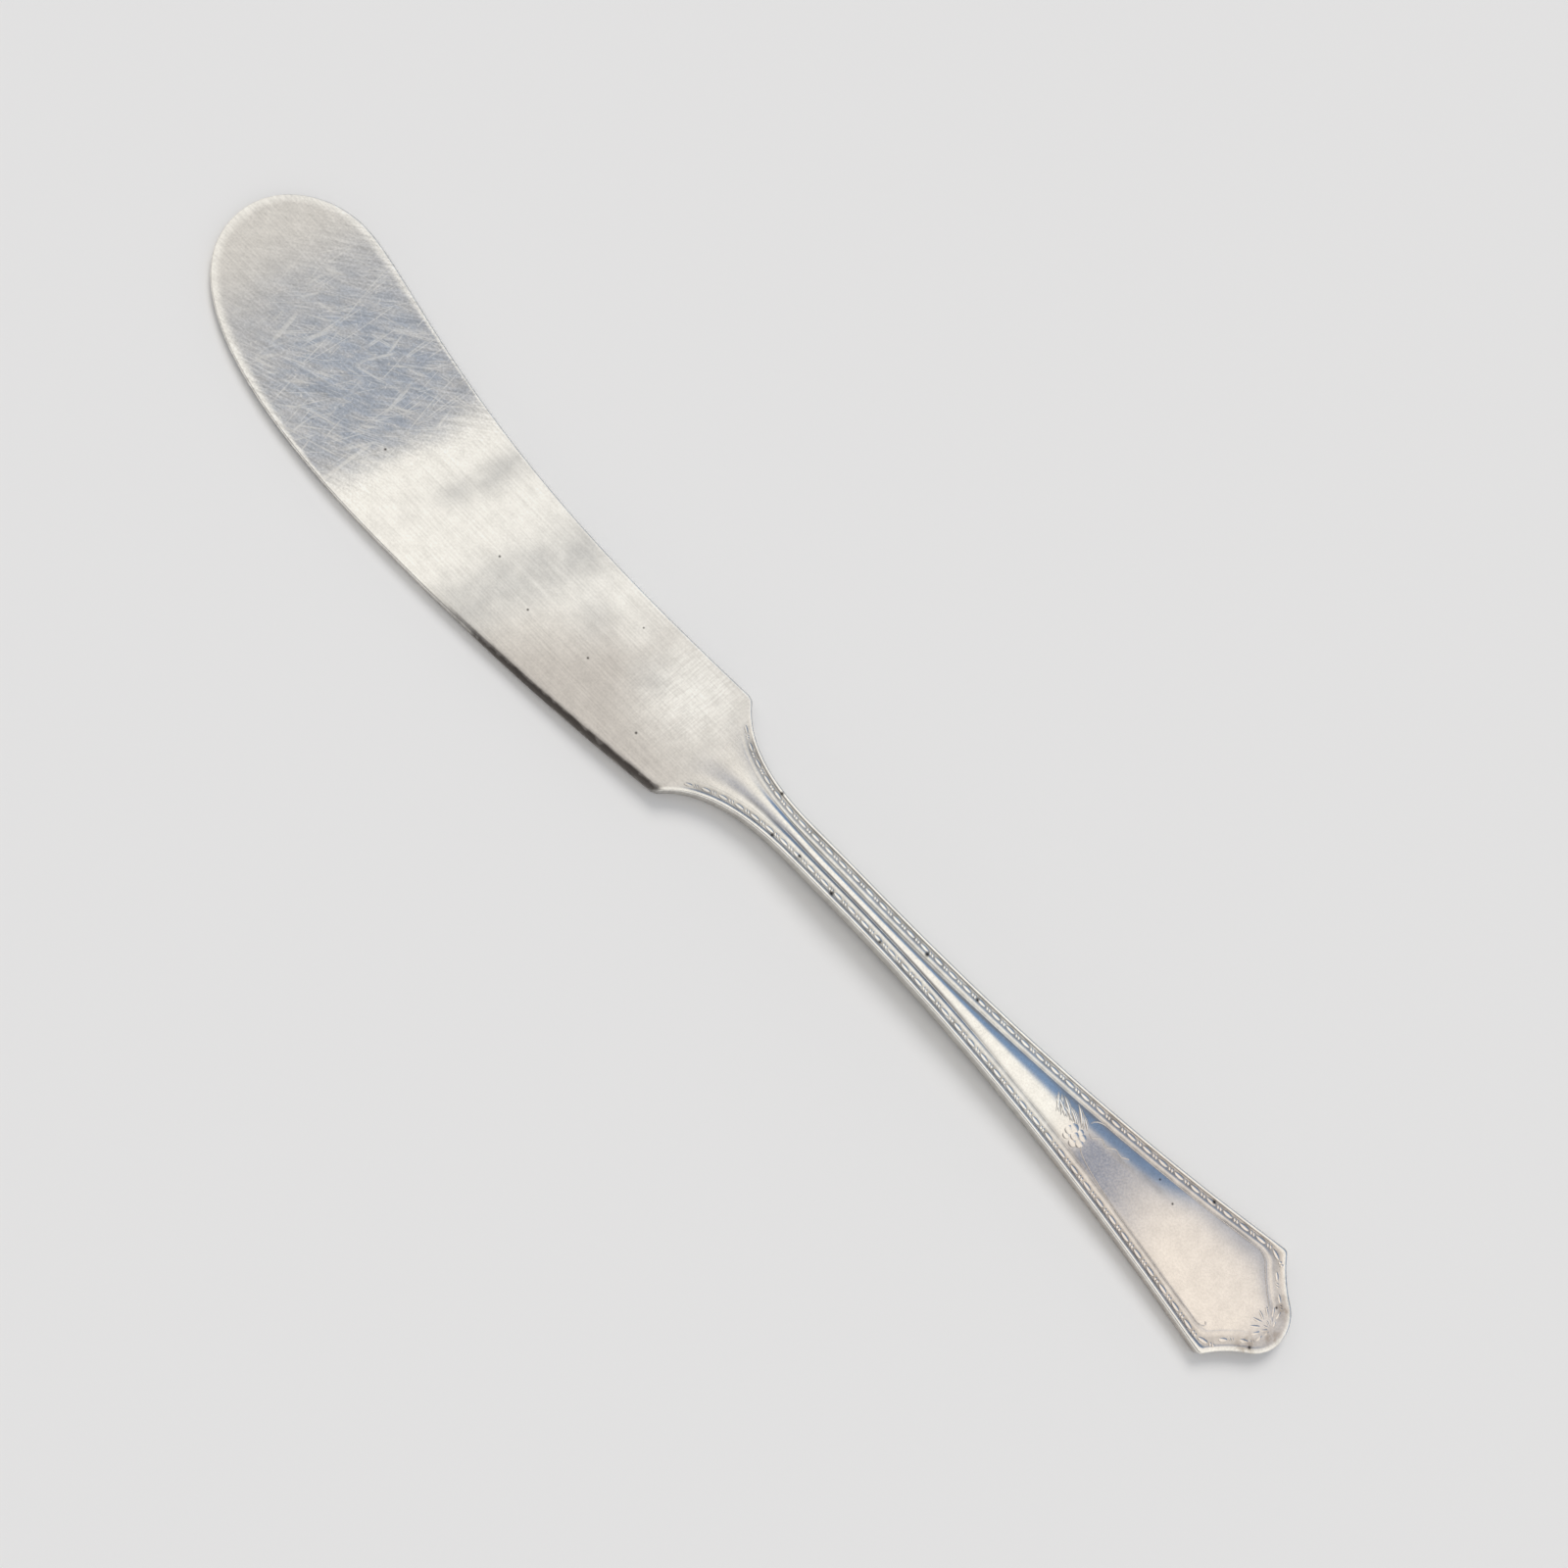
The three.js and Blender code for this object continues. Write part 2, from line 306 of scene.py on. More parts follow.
def round_corner(loop, corner, reach):
    """Replaces a corner of the loop, and what lies within reach of it, by a small curve."""
    spread = np.arange(-CORNER_SPAN, CORNER_SPAN + 1)
    near = loop[(corner + spread) % len(loop)]
    peak = near[CORNER_SPAN]
    steps = walked(near)
    steps -= steps[CORNER_SPAN]
    start, end = points_at(near, steps, [-reach, reach])
    for k in np.nonzero(abs(steps) < reach)[0]:
        t = (steps[k] + reach) / (2 * reach)
        loop[(corner + spread[k]) % len(loop)] = mix(mix(start, peak, t), mix(peak, end, t), t)


def parallel(inset):
    """The outline moved inward, and further at the handle's end, with its corners rounded."""
    wide = mix(END_BORDER, 1, smooth(OUTLINE[:, :1], *END_BORDER_RUN))
    loop = OUTLINE + INWARD * inset * wide
    for station, reach in ((CORNER, END_ROUND), (HEEL, HEEL_ROUND)):
        for corner in (station, spine_index(station)):
            round_corner(loop, corner, reach)
    return loop


# Body

# Rings under the body: inset, and height above the underside
BASE_RINGS = [(0.34, 0.0), (0.2, 0.02), (0.1, 0.08), (0.03, 0.18), (0.0, 0.32)]
# Rings over it, from the edge inward: inset, drop below the rim on the handle, drop on the blade,
# and how much tarnish gathers there, which on the two outer rings is painted shade along the edge
TOP_RINGS = [
    (0.0, 0.30, 0.26, 0.3),
    (0.02, 0.18, 0.14, 0.2),
    (0.06, 0.08, 0.06, 0.0),
    (0.11, 0.02, 0.015, 0.0),
    (0.16, 0.003, 0.0, 0.0),
    (0.20, 0.0, 0.0, 0.0),
    (0.33, 0.0, 0.0, 0.0),
    (0.38, 0.012, 0.0, 0.15),
    (0.44, 0.05, 0.0, 0.45),
    (RIM, CHANNEL_DEPTH, 0.0, 0.65),
    (RIM + 0.08, CHANNEL_DEPTH, 0.0, 0.65),
    (BEAD_AT, CHANNEL_DEPTH - 0.007, 0.0, 0.65),
    (RIM + BEAD_ROW - 0.08, 0.06, 0.0, 0.55),
    (RIM + BEAD_ROW, 0.048, 0.0, 0.36),
    (RIM + BEAD_ROW + 0.08, 0.04, 0.0, 0.16),
    (BORDER - 0.10, 0.037, 0.0, 0.14),
    (BORDER - 0.04, 0.038, 0.0, 0.16),
    (BORDER, EDGE_DROP, 0.0, 0.25),
]
EDGE_INSET = 0.1  # rings outside it round the edge, and keep their painted edge shade on the blade
SIDE_SHADE = (0.3, 0.55)  # painted shade on the side face, and where the edge over it is ground
GROUND_RUNS = ((HEEL_X - 0.4, HEEL_X + 0.6), (HEEL_X + 16, HEEL_X + 32))
GROUND_WIDTH = 0.5  # of the belly's edge beside the heel
GROUND_DROP = 0.3
GROUND_EDGE_SHADE = 1.7  # painted shade at the very edge
GROUND_REACH = 0.8  # of that painted shade, inward from it
EDGE_HIGHLIGHT_INSET = 0.25  # of the painted highlight along the edge
EDGE_HIGHLIGHT_REACH = (0.42, 1.2)  # to where it fades, along the sides and round the tip
EDGE_HIGHLIGHT_RUN = (124, 140)

# Section of the field between the borders
RIB_SHARES = np.sin(np.linspace(0, math.pi / 2, 10))
FLUTE_SHARES = np.array([0.2, 0.45, 0.7, 0.88])
LEAST_RIB = 0.4  # of the field's half width
RIB_POWERS = (2, 3)  # of the section where the handle widens, and on the stem
RIB_POWER_RUN = (42, 52)
PANEL_POWER = 2.6
PANEL_POWER_RUN = (PANEL_X - 4, PANEL_X + 8)
RIDGE_SWING = 0.55
RIDGE_SWING_RUN = (STEM_X + 2, HEEL_X - 3)
RIDGE_FEET = (0.55, 0.8)  # of the half width on the belly's side and on the spine's

# Wear and painted shade of the field. An amount comes first, and pairs of runs are a rise and a
# fall along x.
# Painted shade: a dark line down each flute
FLUTE_SHADE = 0.55
FLUTE_SHADE_LINE = (0.12, 0.26)  # middle of its painted dark line beyond the rib's foot, and half its width
FLUTE_SHADE_RUNS = ((5, 11), (SHOULDER_X + 3, HEEL_X - 3))
LINE_TARNISH_AND_SHADE = 0.42  # tarnish and painted shade along the edge of the panel's painted shade
SHADE_LINE = (0.06, 0.12)  # middle beyond the painted shade's edge and half width, in shares
SHADE_LINE_RUNS = ((16, 20), (25, 28))
PLUME_TARNISH = 0.3  # behind the plume
PLUME_RUNS = ((28.0, 29.5), (31.8, 33.2))
PLUME_ACROSS = ((-0.1, 0.7), (1.2, 2.0))  # from the axis toward the spine
# Painted shade in a bluish grey over the panel, the handle's end and the ridge
SHADE_EDGES = (0.5, 0.18)  # share toward the spine where the painted shade ends, low on the panel and high
SHADE_EDGE_RUN = (14, 28)
SHADE_BLUR = 0.14
SHADE_SLANT = 1.5
SHADE_RUNS = ((14.5, 26.5), (26.5, 29.5))
SHADE_BELLY_RUN = (0.8, 1.0)  # share where it ends on the belly's side
END_SHADE = 0.4  # painted shade over the handle's end
END_SHADE_RUN = (5, 1)
LOW_SHADE = 0.38  # painted shade low on the panel's spine side
LOW_SHADE_RUN = (17, 8)
LOW_SHADE_ACROSS = (0.4, 0.9)
RIDGE_SHADE_RUNS = ((SHOULDER_X - 3, SHOULDER_X + 2), (HEEL_X - 6, HEEL_X + 1))
RIDGE_SHADES = (  # side of the ridge, amount of painted shade, and rise and fall from its crest
    (1, 0.7, (0.05, 0.5), (0.55, 0.9)),
    (-1, 0.3, (0.3, 0.8), (0.85, 1.0)),
)


def crown(x, q):
    """Section of the rib from 1 on its crest to 0 at its foot: flat-topped on the stem, a soft
    ridge at the shoulders and a low curve across the panel."""
    rib = 1 - q ** mix(*RIB_POWERS, smooth(x, *RIB_POWER_RUN))
    ridge = 0.5 + 0.5 * math.cos(math.pi * q)
    section = mix(rib, ridge, smooth(x, *RIDGE_RUN))
    return mix(1 - q**PANEL_POWER, section, smooth(x, *PANEL_POWER_RUN))


def field_drop(x, share, foot):
    """Depth below the rim at a share of the field's half width: rib or panel, then flute."""
    deep = flute_depth(x)
    if share <= foot:
        return deep - field_height(x) * crown(x, share / foot)
    return mix(deep, EDGE_DROP * border_share(x), smooth(share, foot, 1))


class Skin:
    """Vertices and faces of the body as they are laid down, and how much tarnish, painted shade and
    painted edge highlight each vertex has."""

    def __init__(self):
        self.points = []
        self.faces = []
        self.wear = {"tarnish": [], "film": [], "edge_highlight": []}

    def add(self, points, **wear):
        start = len(self.points)
        self.points.extend(map(tuple, points))
        for label, values in self.wear.items():
            values.extend(np.broadcast_to(wear.get(label, 0.0), len(points)))
        return list(range(start, len(self.points)))

    def strip(self, first, second, closed):
        """Quads between two rows of vertices, or triangles where a row is one point."""
        count = max(len(first), len(second))
        first = first * count if len(first) == 1 else first
        second = second * count if len(second) == 1 else second
        for i in range(count if closed else count - 1):
            j = (i + 1) % count
            corners = [first[i], first[j], second[j], second[i]]
            self.faces.append(list(dict.fromkeys(corners)))


def field_wear(x, share, half, from_crest, from_foot):
    """Tarnish and painted shade at a share of the field's half width, which is positive toward the
    belly.
    """
    film_edge = mix(*SHADE_EDGES, smooth(x, *SHADE_EDGE_RUN))
    flute_shade = max(0.0, 1 - abs(from_foot - FLUTE_SHADE_LINE[0]) / FLUTE_SHADE_LINE[1])
    film_line = max(0.0, 1 - abs(-share - film_edge - SHADE_LINE[0]) / SHADE_LINE[1])
    # Painted shade down the flutes
    tarnish = FLUTE_SHADE * flute_shade * hump(x, *FLUTE_SHADE_RUNS)
    # Tarnish and painted shade along the edge of the panel's painted shade
    tarnish += LINE_TARNISH_AND_SHADE * film_line * hump(x, *SHADE_LINE_RUNS)
    tarnish += PLUME_TARNISH * hump(x, *PLUME_RUNS) * hump(-share * half, *PLUME_ACROSS)
    # Painted bluish shade over the panel, the handle's end and the ridge
    rise, fall = SHADE_RUNS
    film = smooth(x + SHADE_SLANT * share, *rise) * (1 - smooth(x, *fall))
    film *= 1 - smooth(-share, film_edge - SHADE_BLUR, film_edge + SHADE_BLUR)
    film *= 1 - smooth(share, *SHADE_BELLY_RUN)
    film += END_SHADE * smooth(x, *END_SHADE_RUN)
    film += LOW_SHADE * smooth(-share, *LOW_SHADE_ACROSS) * smooth(x, *LOW_SHADE_RUN)
    for side, amount, rise, fall in RIDGE_SHADES:
        film += amount * hump(x, *RIDGE_SHADE_RUNS) * hump(side * from_crest, rise, fall)
    return tarnish, film


def field_row(a, b):
    """Points across the field between two points of the border's inner edge, with tarnish and
    painted shade.
    The rib's crest swings toward the spine as it runs out at the shoulders."""
    half = float(np.hypot(*(a[:2] - b[:2]))) / 2
    middle = (a + b) / 2
    on_stem = 1 - smooth(middle[0], *SHOULDER_RUN)
    rib = max(1 - FLUTE / half, LEAST_RIB)
    out = np.r_[RIB_SHARES * rib, mix(rib, 1, FLUTE_SHARES)]
    shares = np.r_[out[:0:-1], -out]
    row = middle + (a - middle) * shares[:, None]
    wear = []
    for point, share in zip(row, shares):
        x = float(point[0])
        swing = RIDGE_SWING * smooth(x, *RIDGE_SWING_RUN) / half
        from_crest = (share + swing) / (1 + math.copysign(swing, share + swing))
        foot = mix(RIDGE_FEET[0] if from_crest > 0 else RIDGE_FEET[1], rib, on_stem)
        point[2] = rim_top(x) - field_drop(x, abs(from_crest), foot)
        wear.append(field_wear(x, share, half, from_crest, (abs(from_crest) - foot) * half))
    tarnish, film = np.transpose(wear)
    return row, tarnish, film


def edge_highlight(x, inset):
    """How much painted highlight the edge has: a fine bright line, widest round the blade's tip."""
    return 1 - smooth(inset, EDGE_HIGHLIGHT_INSET, mix(*EDGE_HIGHLIGHT_REACH, smooth(x, *EDGE_HIGHLIGHT_RUN)))


def ground_edge(points):
    """How far the belly's edge is ground off and painted dark as shade: most beside the heel,
    running out along the blade."""
    x, y = points.T
    return (y > 0) * hump(x, *GROUND_RUNS)


def body_skin():
    skin = Skin()
    rings = []
    for inset, lift in BASE_RINGS:
        points = parallel(inset)
        z = underside(points[:, 0]) + lift
        # Painted shade on the side face, darker below the ground edge
        side_shade = mix(*SIDE_SHADE, ground_edge(points))
        rings.append(skin.add(np.column_stack([points, z]), tarnish=side_shade))
    for inset, drop_handle, drop_blade, tarnish in TOP_RINGS:
        points = parallel(inset)
        x = points[:, 0]
        share = border_share(x)
        ground = ground_edge(points)
        z = rim_top(x) - mix(drop_blade, drop_handle, share)
        z -= GROUND_DROP * ground * (1 - smooth(inset, 0, GROUND_WIDTH))
        # Painted shade along the ground edge, fading inward
        edge_shade = GROUND_EDGE_SHADE * ground * (1 - smooth(inset, 0, GROUND_REACH))
        wear = {
            # Tarnish, with painted shade on the outer edge rings
            "tarnish": np.maximum(tarnish * np.maximum(share, inset < EDGE_INSET), edge_shade),
            # Painted shade over the handle's end
            "film": END_SHADE * smooth(x, *END_SHADE_RUN),
            # Painted highlight along the edge, left off the ground edge
            "edge_highlight": edge_highlight(x, inset) * (1 - ground),
        }
        rings.append(skin.add(np.column_stack([points, z]), **wear))
    for lower, upper in zip(rings, rings[1:]):
        skin.strip(upper, lower, closed=True)
    edge = rings[-1]
    field = []
    base = []
    for i in range(LAST + 1):
        a, b = edge[i], edge[spine_index(i)]
        base.append(list(dict.fromkeys([rings[0][spine_index(i)], rings[0][i]])))
        if a == b:
            field.append([a])
            continue
        row, tarnish, film = field_row(np.array(skin.points[a]), np.array(skin.points[b]))
        field.append([a, *skin.add(row, tarnish=tarnish, film=film), b])
    for rows in (field, base):
        for first, second in zip(rows, rows[1:]):
            skin.strip(first, second, closed=False)
    return skin


def to_row(points):
    """Handle's millimetres to the row frame's metres."""
    return [tuple(p) for p in (np.asarray(points, float) + [LOW[0], AXIS_Y, 0]) * MM]


def put_in_scene(name, data, material=None):
    piece = bpy.data.objects.new(name, data)
    bpy.context.scene.collection.objects.link(piece)
    if material:
        data.materials.append(material)
    return piece


def skin_mesh(name, skin):
    mesh = bpy.data.meshes.new(name)
    mesh.from_pydata(to_row(skin.points), [], skin.faces)
    mesh.polygons.foreach_set("use_smooth", [True] * len(mesh.polygons))
    for label, values in skin.wear.items():
        mesh.attributes.new(label, "FLOAT", "POINT").data.foreach_set("value", values)
    mesh.validate()
    return mesh


# Nodes

MATH = "ShaderNodeMath"
VECTOR = "ShaderNodeVectorMath"
COMBINE = "ShaderNodeCombineXYZ"
RANGE = "ShaderNodeMapRange"
SOFT = {"interpolation_type": "SMOOTHSTEP"}  # makes a range a soft step
TIMES = {"operation": "MULTIPLY"}
TIMES_PLUS = {"operation": "MULTIPLY_ADD"}
COLOUR_MIX = (0, 6, 7)  # sockets of a mix of colours: share, under and over
MIXED_COLOUR = 2
VALUE_MIX = (0, 2, 3)


def add_node(tree, kind, inputs=(), output=0, **settings):
    """Adds a node with its settings and returns one of its outputs. Its inputs come as a list, from
    the first socket on, or as a dict by socket. A value is set, and a node's output is linked."""
    node = tree.nodes.new(kind)
    for key, value in settings.items():
        setattr(node, key, value)
    for socket, value in inputs.items() if isinstance(inputs, dict) else enumerate(inputs):
        if isinstance(value, bpy.types.NodeSocket):
            tree.links.new(value, node.inputs[socket])
        else:
            node.inputs[socket].default_value = value
    return node.outputs[output]


# Geometry Nodes

BALL = {"Segments": 14, "Rings": 10, "Radius": 0.5}
PIPE_SIDES = 10
STROKE_STEPS = 14
LEAF_POINT = 0.02  # share of a leaflet's width at its ends
MOTIF_TARNISH = (0.7, -0.5)  # at the foot of a motif and at its top


def new_tree(name, sizes):
    """A geometry tree with a named input for each size, what adds a node to it, and its inputs."""
    tree = bpy.data.node_groups.new(name, "GeometryNodeTree")
    tree.interface.new_socket("Geometry", in_out="INPUT", socket_type="NodeSocketGeometry")
    for label in sizes:
        tree.interface.new_socket(label, in_out="INPUT", socket_type="NodeSocketFloat")
    tree.interface.new_socket("Geometry", in_out="OUTPUT", socket_type="NodeSocketGeometry")
    add = partial(add_node, tree)
    return tree, add, add("NodeGroupInput").node.outputs


def finish_tree(tree, geometry, material):
    """Realize Instances, smooth shading, Set Material and the group's output."""
    real = add_node(tree, "GeometryNodeRealizeInstances", [geometry])
    shaded = add_node(tree, "GeometryNodeSetShadeSmooth", [real])
    dressed = add_node(tree, "GeometryNodeSetMaterial", {"Geometry": shaded, "Material": material})
    tree.links.new(dressed, tree.nodes.new("NodeGroupOutput").inputs[0])
    return tree


def ellipsoid(add, size, shift=(0.0, 0.0, 0.0)):
    """A ball of unit width, scaled to size and moved by shift."""
    ball = add("GeometryNodeMeshUVSphere", BALL)
    return add("GeometryNodeTransform", {"Geometry": ball, "Translation": shift, "Scale": size})


def pipe(add, curve, radius, scale=1.0):
    """A round bar along a curve, closed at its ends."""
    sides = {"Resolution": PIPE_SIDES, "Radius": radius}
    section = add("GeometryNodeCurvePrimitiveCircle", sides)
    run = {"Curve": curve, "Profile Curve": section, "Scale": scale, "Fill Caps": True}
    return add("GeometryNodeCurveToMesh", run)


def motif_on_stations(add, motif, height):
    """The motif at each vertex, turned and tilted to its 'along' and scaled by its 'size', with
    more tarnish toward its foot."""
    z = add("ShaderNodeSeparateXYZ", [add("GeometryNodeInputPosition")], "Z")
    amount = add(RANGE, [z, 0.0, height, *MOTIF_TARNISH])
    stored = {"Geometry": motif, "Name": "tarnish", "Value": amount}
    stained = add("GeometryNodeStoreNamedAttribute", stored, data_type="FLOAT", domain="POINT")
    points = add("NodeGroupInput")
    along = add("GeometryNodeInputNamedAttribute", {"Name": "along"}, data_type="FLOAT_VECTOR")
    size = add("GeometryNodeInputNamedAttribute", {"Name": "size"}, data_type="FLOAT")
    aim = {"Vector": along}
    for pivot in ("Z", "Y"):
        turned = add("FunctionNodeAlignRotationToVector", aim, axis="X", pivot_axis=pivot)
        aim["Rotation"] = turned
    placed = {"Points": points, "Instance": stained, "Rotation": turned, "Scale": size}
    return add("GeometryNodeInstanceOnPoints", placed)


def bead_and_reel_tree(material):
    """An oval bead with a reel of two discs between it and the next."""
    tree, add, take = new_tree("bead_and_reel", BEAD_SIZES)
    tall = add(MATH, [take["Height"], 2.0], **TIMES)
    bead_size = add(COMBINE, [take["Bead length"], take["Bead width"], tall])
    disc_size = add(COMBINE, [take["Reel thickness"], take["Reel width"], tall])
    parts = [ellipsoid(add, bead_size)]
    for side in (-0.5, 0.5):
        apart = add(MATH, [take["Reel gap"], side, take["Reel offset"]], **TIMES_PLUS)
        parts.append(ellipsoid(add, disc_size, add(COMBINE, [apart])))
    motif = add("GeometryNodeJoinGeometry")
    for part in parts:
        tree.links.new(part, motif.node.inputs[0])
    return finish_tree(tree, motif_on_stations(add, motif, take["Height"]), material)


def berry_tree(material):
    """A round berry, low and domed."""
    tree, add, take = new_tree("spray_berries", BERRY_SIZES)
    tall = add(MATH, [take["Height"], 2.0], **TIMES)
    berry = ellipsoid(add, add(COMBINE, [take["Berry width"], take["Berry width"], tall]))
    return finish_tree(tree, motif_on_stations(add, berry, take["Height"]), material)


def leaf_tree(material):
    """One leaflet: a stroke bowed to a side and drawn out to a point at both ends."""
    tree, add, take = new_tree("leaf_spray", LEAF_SIZES)
    half = add(MATH, [take["Length"], 0.5], **TIMES)
    back = add(MATH, [take["Length"], -0.5], **TIMES)
    start, bow, end = (add(COMBINE, at) for at in ([back], [0.0, take["Bow"]], [half]))
    path = {"Resolution": STROKE_STEPS, "Start": start, "Middle": bow, "End": end}
    stroke = add("GeometryNodeCurveQuadraticBezier", path)
    share = add("GeometryNodeSplineParameter", output="Factor")
    turn = add(MATH, [share, math.pi], **TIMES)
    taper = add(MATH, [turn], operation="SINE")
    fullness = add(MATH, [taper, 1 - LEAF_POINT, LEAF_POINT], **TIMES_PLUS)
    radius = add(MATH, [take["Width"], 0.5], **TIMES)
    flatness = add(MATH, [take["Height"], radius], operation="DIVIDE")
    bar = pipe(add, stroke, radius, fullness)
    scale = add(COMBINE, [1.0, 1.0, flatness])
    leaf = add("GeometryNodeTransform", {"Geometry": bar, "Scale": scale})
    return finish_tree(tree, motif_on_stations(add, leaf, take["Height"]), material)


def thread_tree(material):
    """A fine round thread along a line of edges."""
    tree, add, take = new_tree("struck_thread", ["Radius"])
    line = add("GeometryNodeMeshToCurve", [take[0]])
    return finish_tree(tree, pipe(add, line, take["Radius"]), material)


def grown(piece, tree, sizes):
    """Runs the tree on a piece with its sizes in metres, and keeps the result as a plain mesh."""
    modifier = piece.modifiers.new(tree.name, "NODES")
    modifier.node_group = tree
    for socket in tree.interface.items_tree:
        if socket.name in sizes:
            modifier[socket.identifier] = sizes[socket.name] * MM
    view = bpy.context.evaluated_depsgraph_get()
    result = bpy.data.meshes.new_from_object(piece.evaluated_get(view))
    piece.modifiers.clear()
    start = piece.data
    piece.data = result
    bpy.data.meshes.remove(start)
    result.name = piece.name
    return piece


# Ornament

BEAD_PITCH = (1.79, 2.12)  # at the shoulders and at the handle's end
BEAD_SIZES = {
    "Bead length": 1.06,
    "Bead width": 0.44,
    "Height": 0.07,
    "Reel thickness": 0.25,
    "Reel width": 0.42,
    "Reel gap": 0.28,
    "Reel offset": 0.895,
}
BORDER_START = 10  # stations behind the heel where the border begins
BORDER_END = 26  # stations from the middle of the end where it stops
FIRST_BEAD = 0.4  # from the border's start
SHOULDER_BEAD = 0.85  # size of the first bead, to a full one
SHOULDER_BEAD_RUN = (0, 5)  # from the border's start
END_BEAD = 0.8
END_BEAD_RUN = (5, 3)  # before the border's end
BEAD_WEAR = 0.03  # how deep the last bead is worn down
BEAD_WEAR_RUN = (6, 0)  # before the border's end
SHOULDER_WEAR = 0.4  # of that, at the first bead
SHOULDER_WEAR_RUN = (4, 0)  # from the border's start
SLOPE_REACH = 0.3  # to either side of a point whose direction is measured
RAY_START = 50.0  # height from which points are dropped


def on_surface(surface, points, sink=0.0):
    """Drops points of the plan onto the struck face, sunk by a little."""
    found = []
    for x, y in points:
        hit, _, _, _ = surface.ray_cast(Vector((x, y, RAY_START)), Vector((0, 0, -1)))
        found.append((x, y, hit.z))
    found = np.array(found)
    found[:, 2] -= sink
    return found


def on_stations(name, surface, plan, along, size, sink):
    """A piece with a vertex at each place of the plan, dropped onto the struck face, which holds
    its size and its direction, tilted to the face under it."""
    reach = SLOPE_REACH * unit(along)
    slope = on_surface(surface, plan + reach) - on_surface(surface, plan - reach)
    mesh = bpy.data.meshes.new(name + "_stations")
    mesh.from_pydata(to_row(on_surface(surface, plan, sink)), [], [])
    mesh.attributes.new("along", "FLOAT_VECTOR", "POINT").data.foreach_set("vector", slope.ravel())
    mesh.attributes.new("size", "FLOAT", "POINT").data.foreach_set("value", size)
    return put_in_scene(name, mesh)


def border_stations(side):
    """Stations of the bead border from the shoulder round to the lobe, with directions, sizes and
    how deep they are worn down."""
    order = range(HEEL - BORDER_START, BORDER_END, -1)
    path = along_side(parallel(BEAD_AT), side, order)
    steps = walked(path)
    total = steps[-1]
    at = [FIRST_BEAD]
    while at[-1] < total:
        at.append(at[-1] + mix(*BEAD_PITCH, at[-1] / total))
    at = np.array(at[:-1])
    left = total - at
    size = mix(1.0, BEAD_PITCH[1] / BEAD_PITCH[0], at / total)
    size *= mix(SHOULDER_BEAD, 1.0, smooth(at, *SHOULDER_BEAD_RUN))
    size *= mix(1.0, END_BEAD, smooth(left, *END_BEAD_RUN))
    worn = np.maximum(SHOULDER_WEAR * smooth(at, *SHOULDER_WEAR_RUN), smooth(left, *BEAD_WEAR_RUN))
    behind, plan, ahead = (points_at(path, steps, at + k * SLOPE_REACH) for k in (-1, 0, 1))
    return plan, ahead - behind, size, BEAD_WEAR * worn


def bead_border(surface, material):
    sides = zip(*(border_stations(side) for side in (1, -1)))
    stations = [np.concatenate(part) for part in sides]
    piece = on_stations("bead_and_reel_border", surface, *stations)
    return grown(piece, bead_and_reel_tree(material), BEAD_SIZES)


LEAF_SIZES = {"Length": 2.4, "Width": 0.5, "Height": 0.18, "Bow": 0.34}
LEAF_SINK = 0.34  # of a leaflet's height
WORN_SINK = 0.7  # of those that are worn low
LEAF_SEED = 7
PLUME_ROOTS = ((31.7, 0.4), (28.1, -0.35))  # of the first and last leaflets
PLUME_LEAVES = 12
PLUME_ARC = (0.12, 0.88)  # of half a turn, over which the leaflets grow and shrink
PLUME_SIZE = (0.58, 1.0)  # at the plume's ends and at its middle
PLUME_LEAN = (math.radians(58), math.radians(30))
PLUME_REACH = 0.4  # of a leaflet's length, from its root to its middle
SIZE_SPREAD = 0.14
LEAN_SPREAD = 0.24
ROOT_SPREAD = 0.12
PALMETTE_X = 1.5
PALMETTE_FANS = ((0.8, 4, 1.0), (0.1, 3, 0.72))  # reach of the roots, leaflets on a side, size
PALMETTE_SWEEP = math.radians(84)
PALMETTE_SIZE = (0.6, 0.85)  # across the handle and along it
PALMETTE_SPREAD = 0.08
PALMETTE_FIRST = 0.3  # of a step, from the axis to the first leaflet
PALMETTE_CURL = 0.25


def plume_leaves(chance):
    """Leaflets on the spine's side of the axis, leaning toward the blade and a little uneven."""
    for share in np.linspace(0, 1, PLUME_LEAVES):
        full = math.sin(math.pi * mix(*PLUME_ARC, share))
        size = mix(*PLUME_SIZE, full) + chance.uniform(-SIZE_SPREAD, SIZE_SPREAD)
        lean = mix(*PLUME_LEAN, full) + chance.uniform(-LEAN_SPREAD, LEAN_SPREAD)
        way = np.array([math.cos(lean), -math.sin(lean)])
        root = mix(*np.array(PLUME_ROOTS), share) + chance.uniform(-ROOT_SPREAD, ROOT_SPREAD, 2)
        yield root + PLUME_REACH * size * LEAF_SIZES["Length"] * way, way, size, LEAF_SINK


def palmette_leaves(side, chance):
    """Worn leaflets fanned on one side from the lobe of the end into the panel."""
    for root, count, share in PALMETTE_FANS:
        for k in range(count):
            swing = side * PALMETTE_SWEEP * (k + PALMETTE_FIRST) / count
            size = mix(*PALMETTE_SIZE, math.cos(swing))
            size = share * (size + chance.uniform(-PALMETTE_SPREAD, PALMETTE_SPREAD))
            reach = root + 0.5 * size * LEAF_SIZES["Length"]
            curl = swing + side * PALMETTE_CURL
            place = [PALMETTE_X + reach * math.cos(swing), reach * math.sin(swing)]
            yield place, [math.cos(curl), math.sin(curl)], size, WORN_SINK


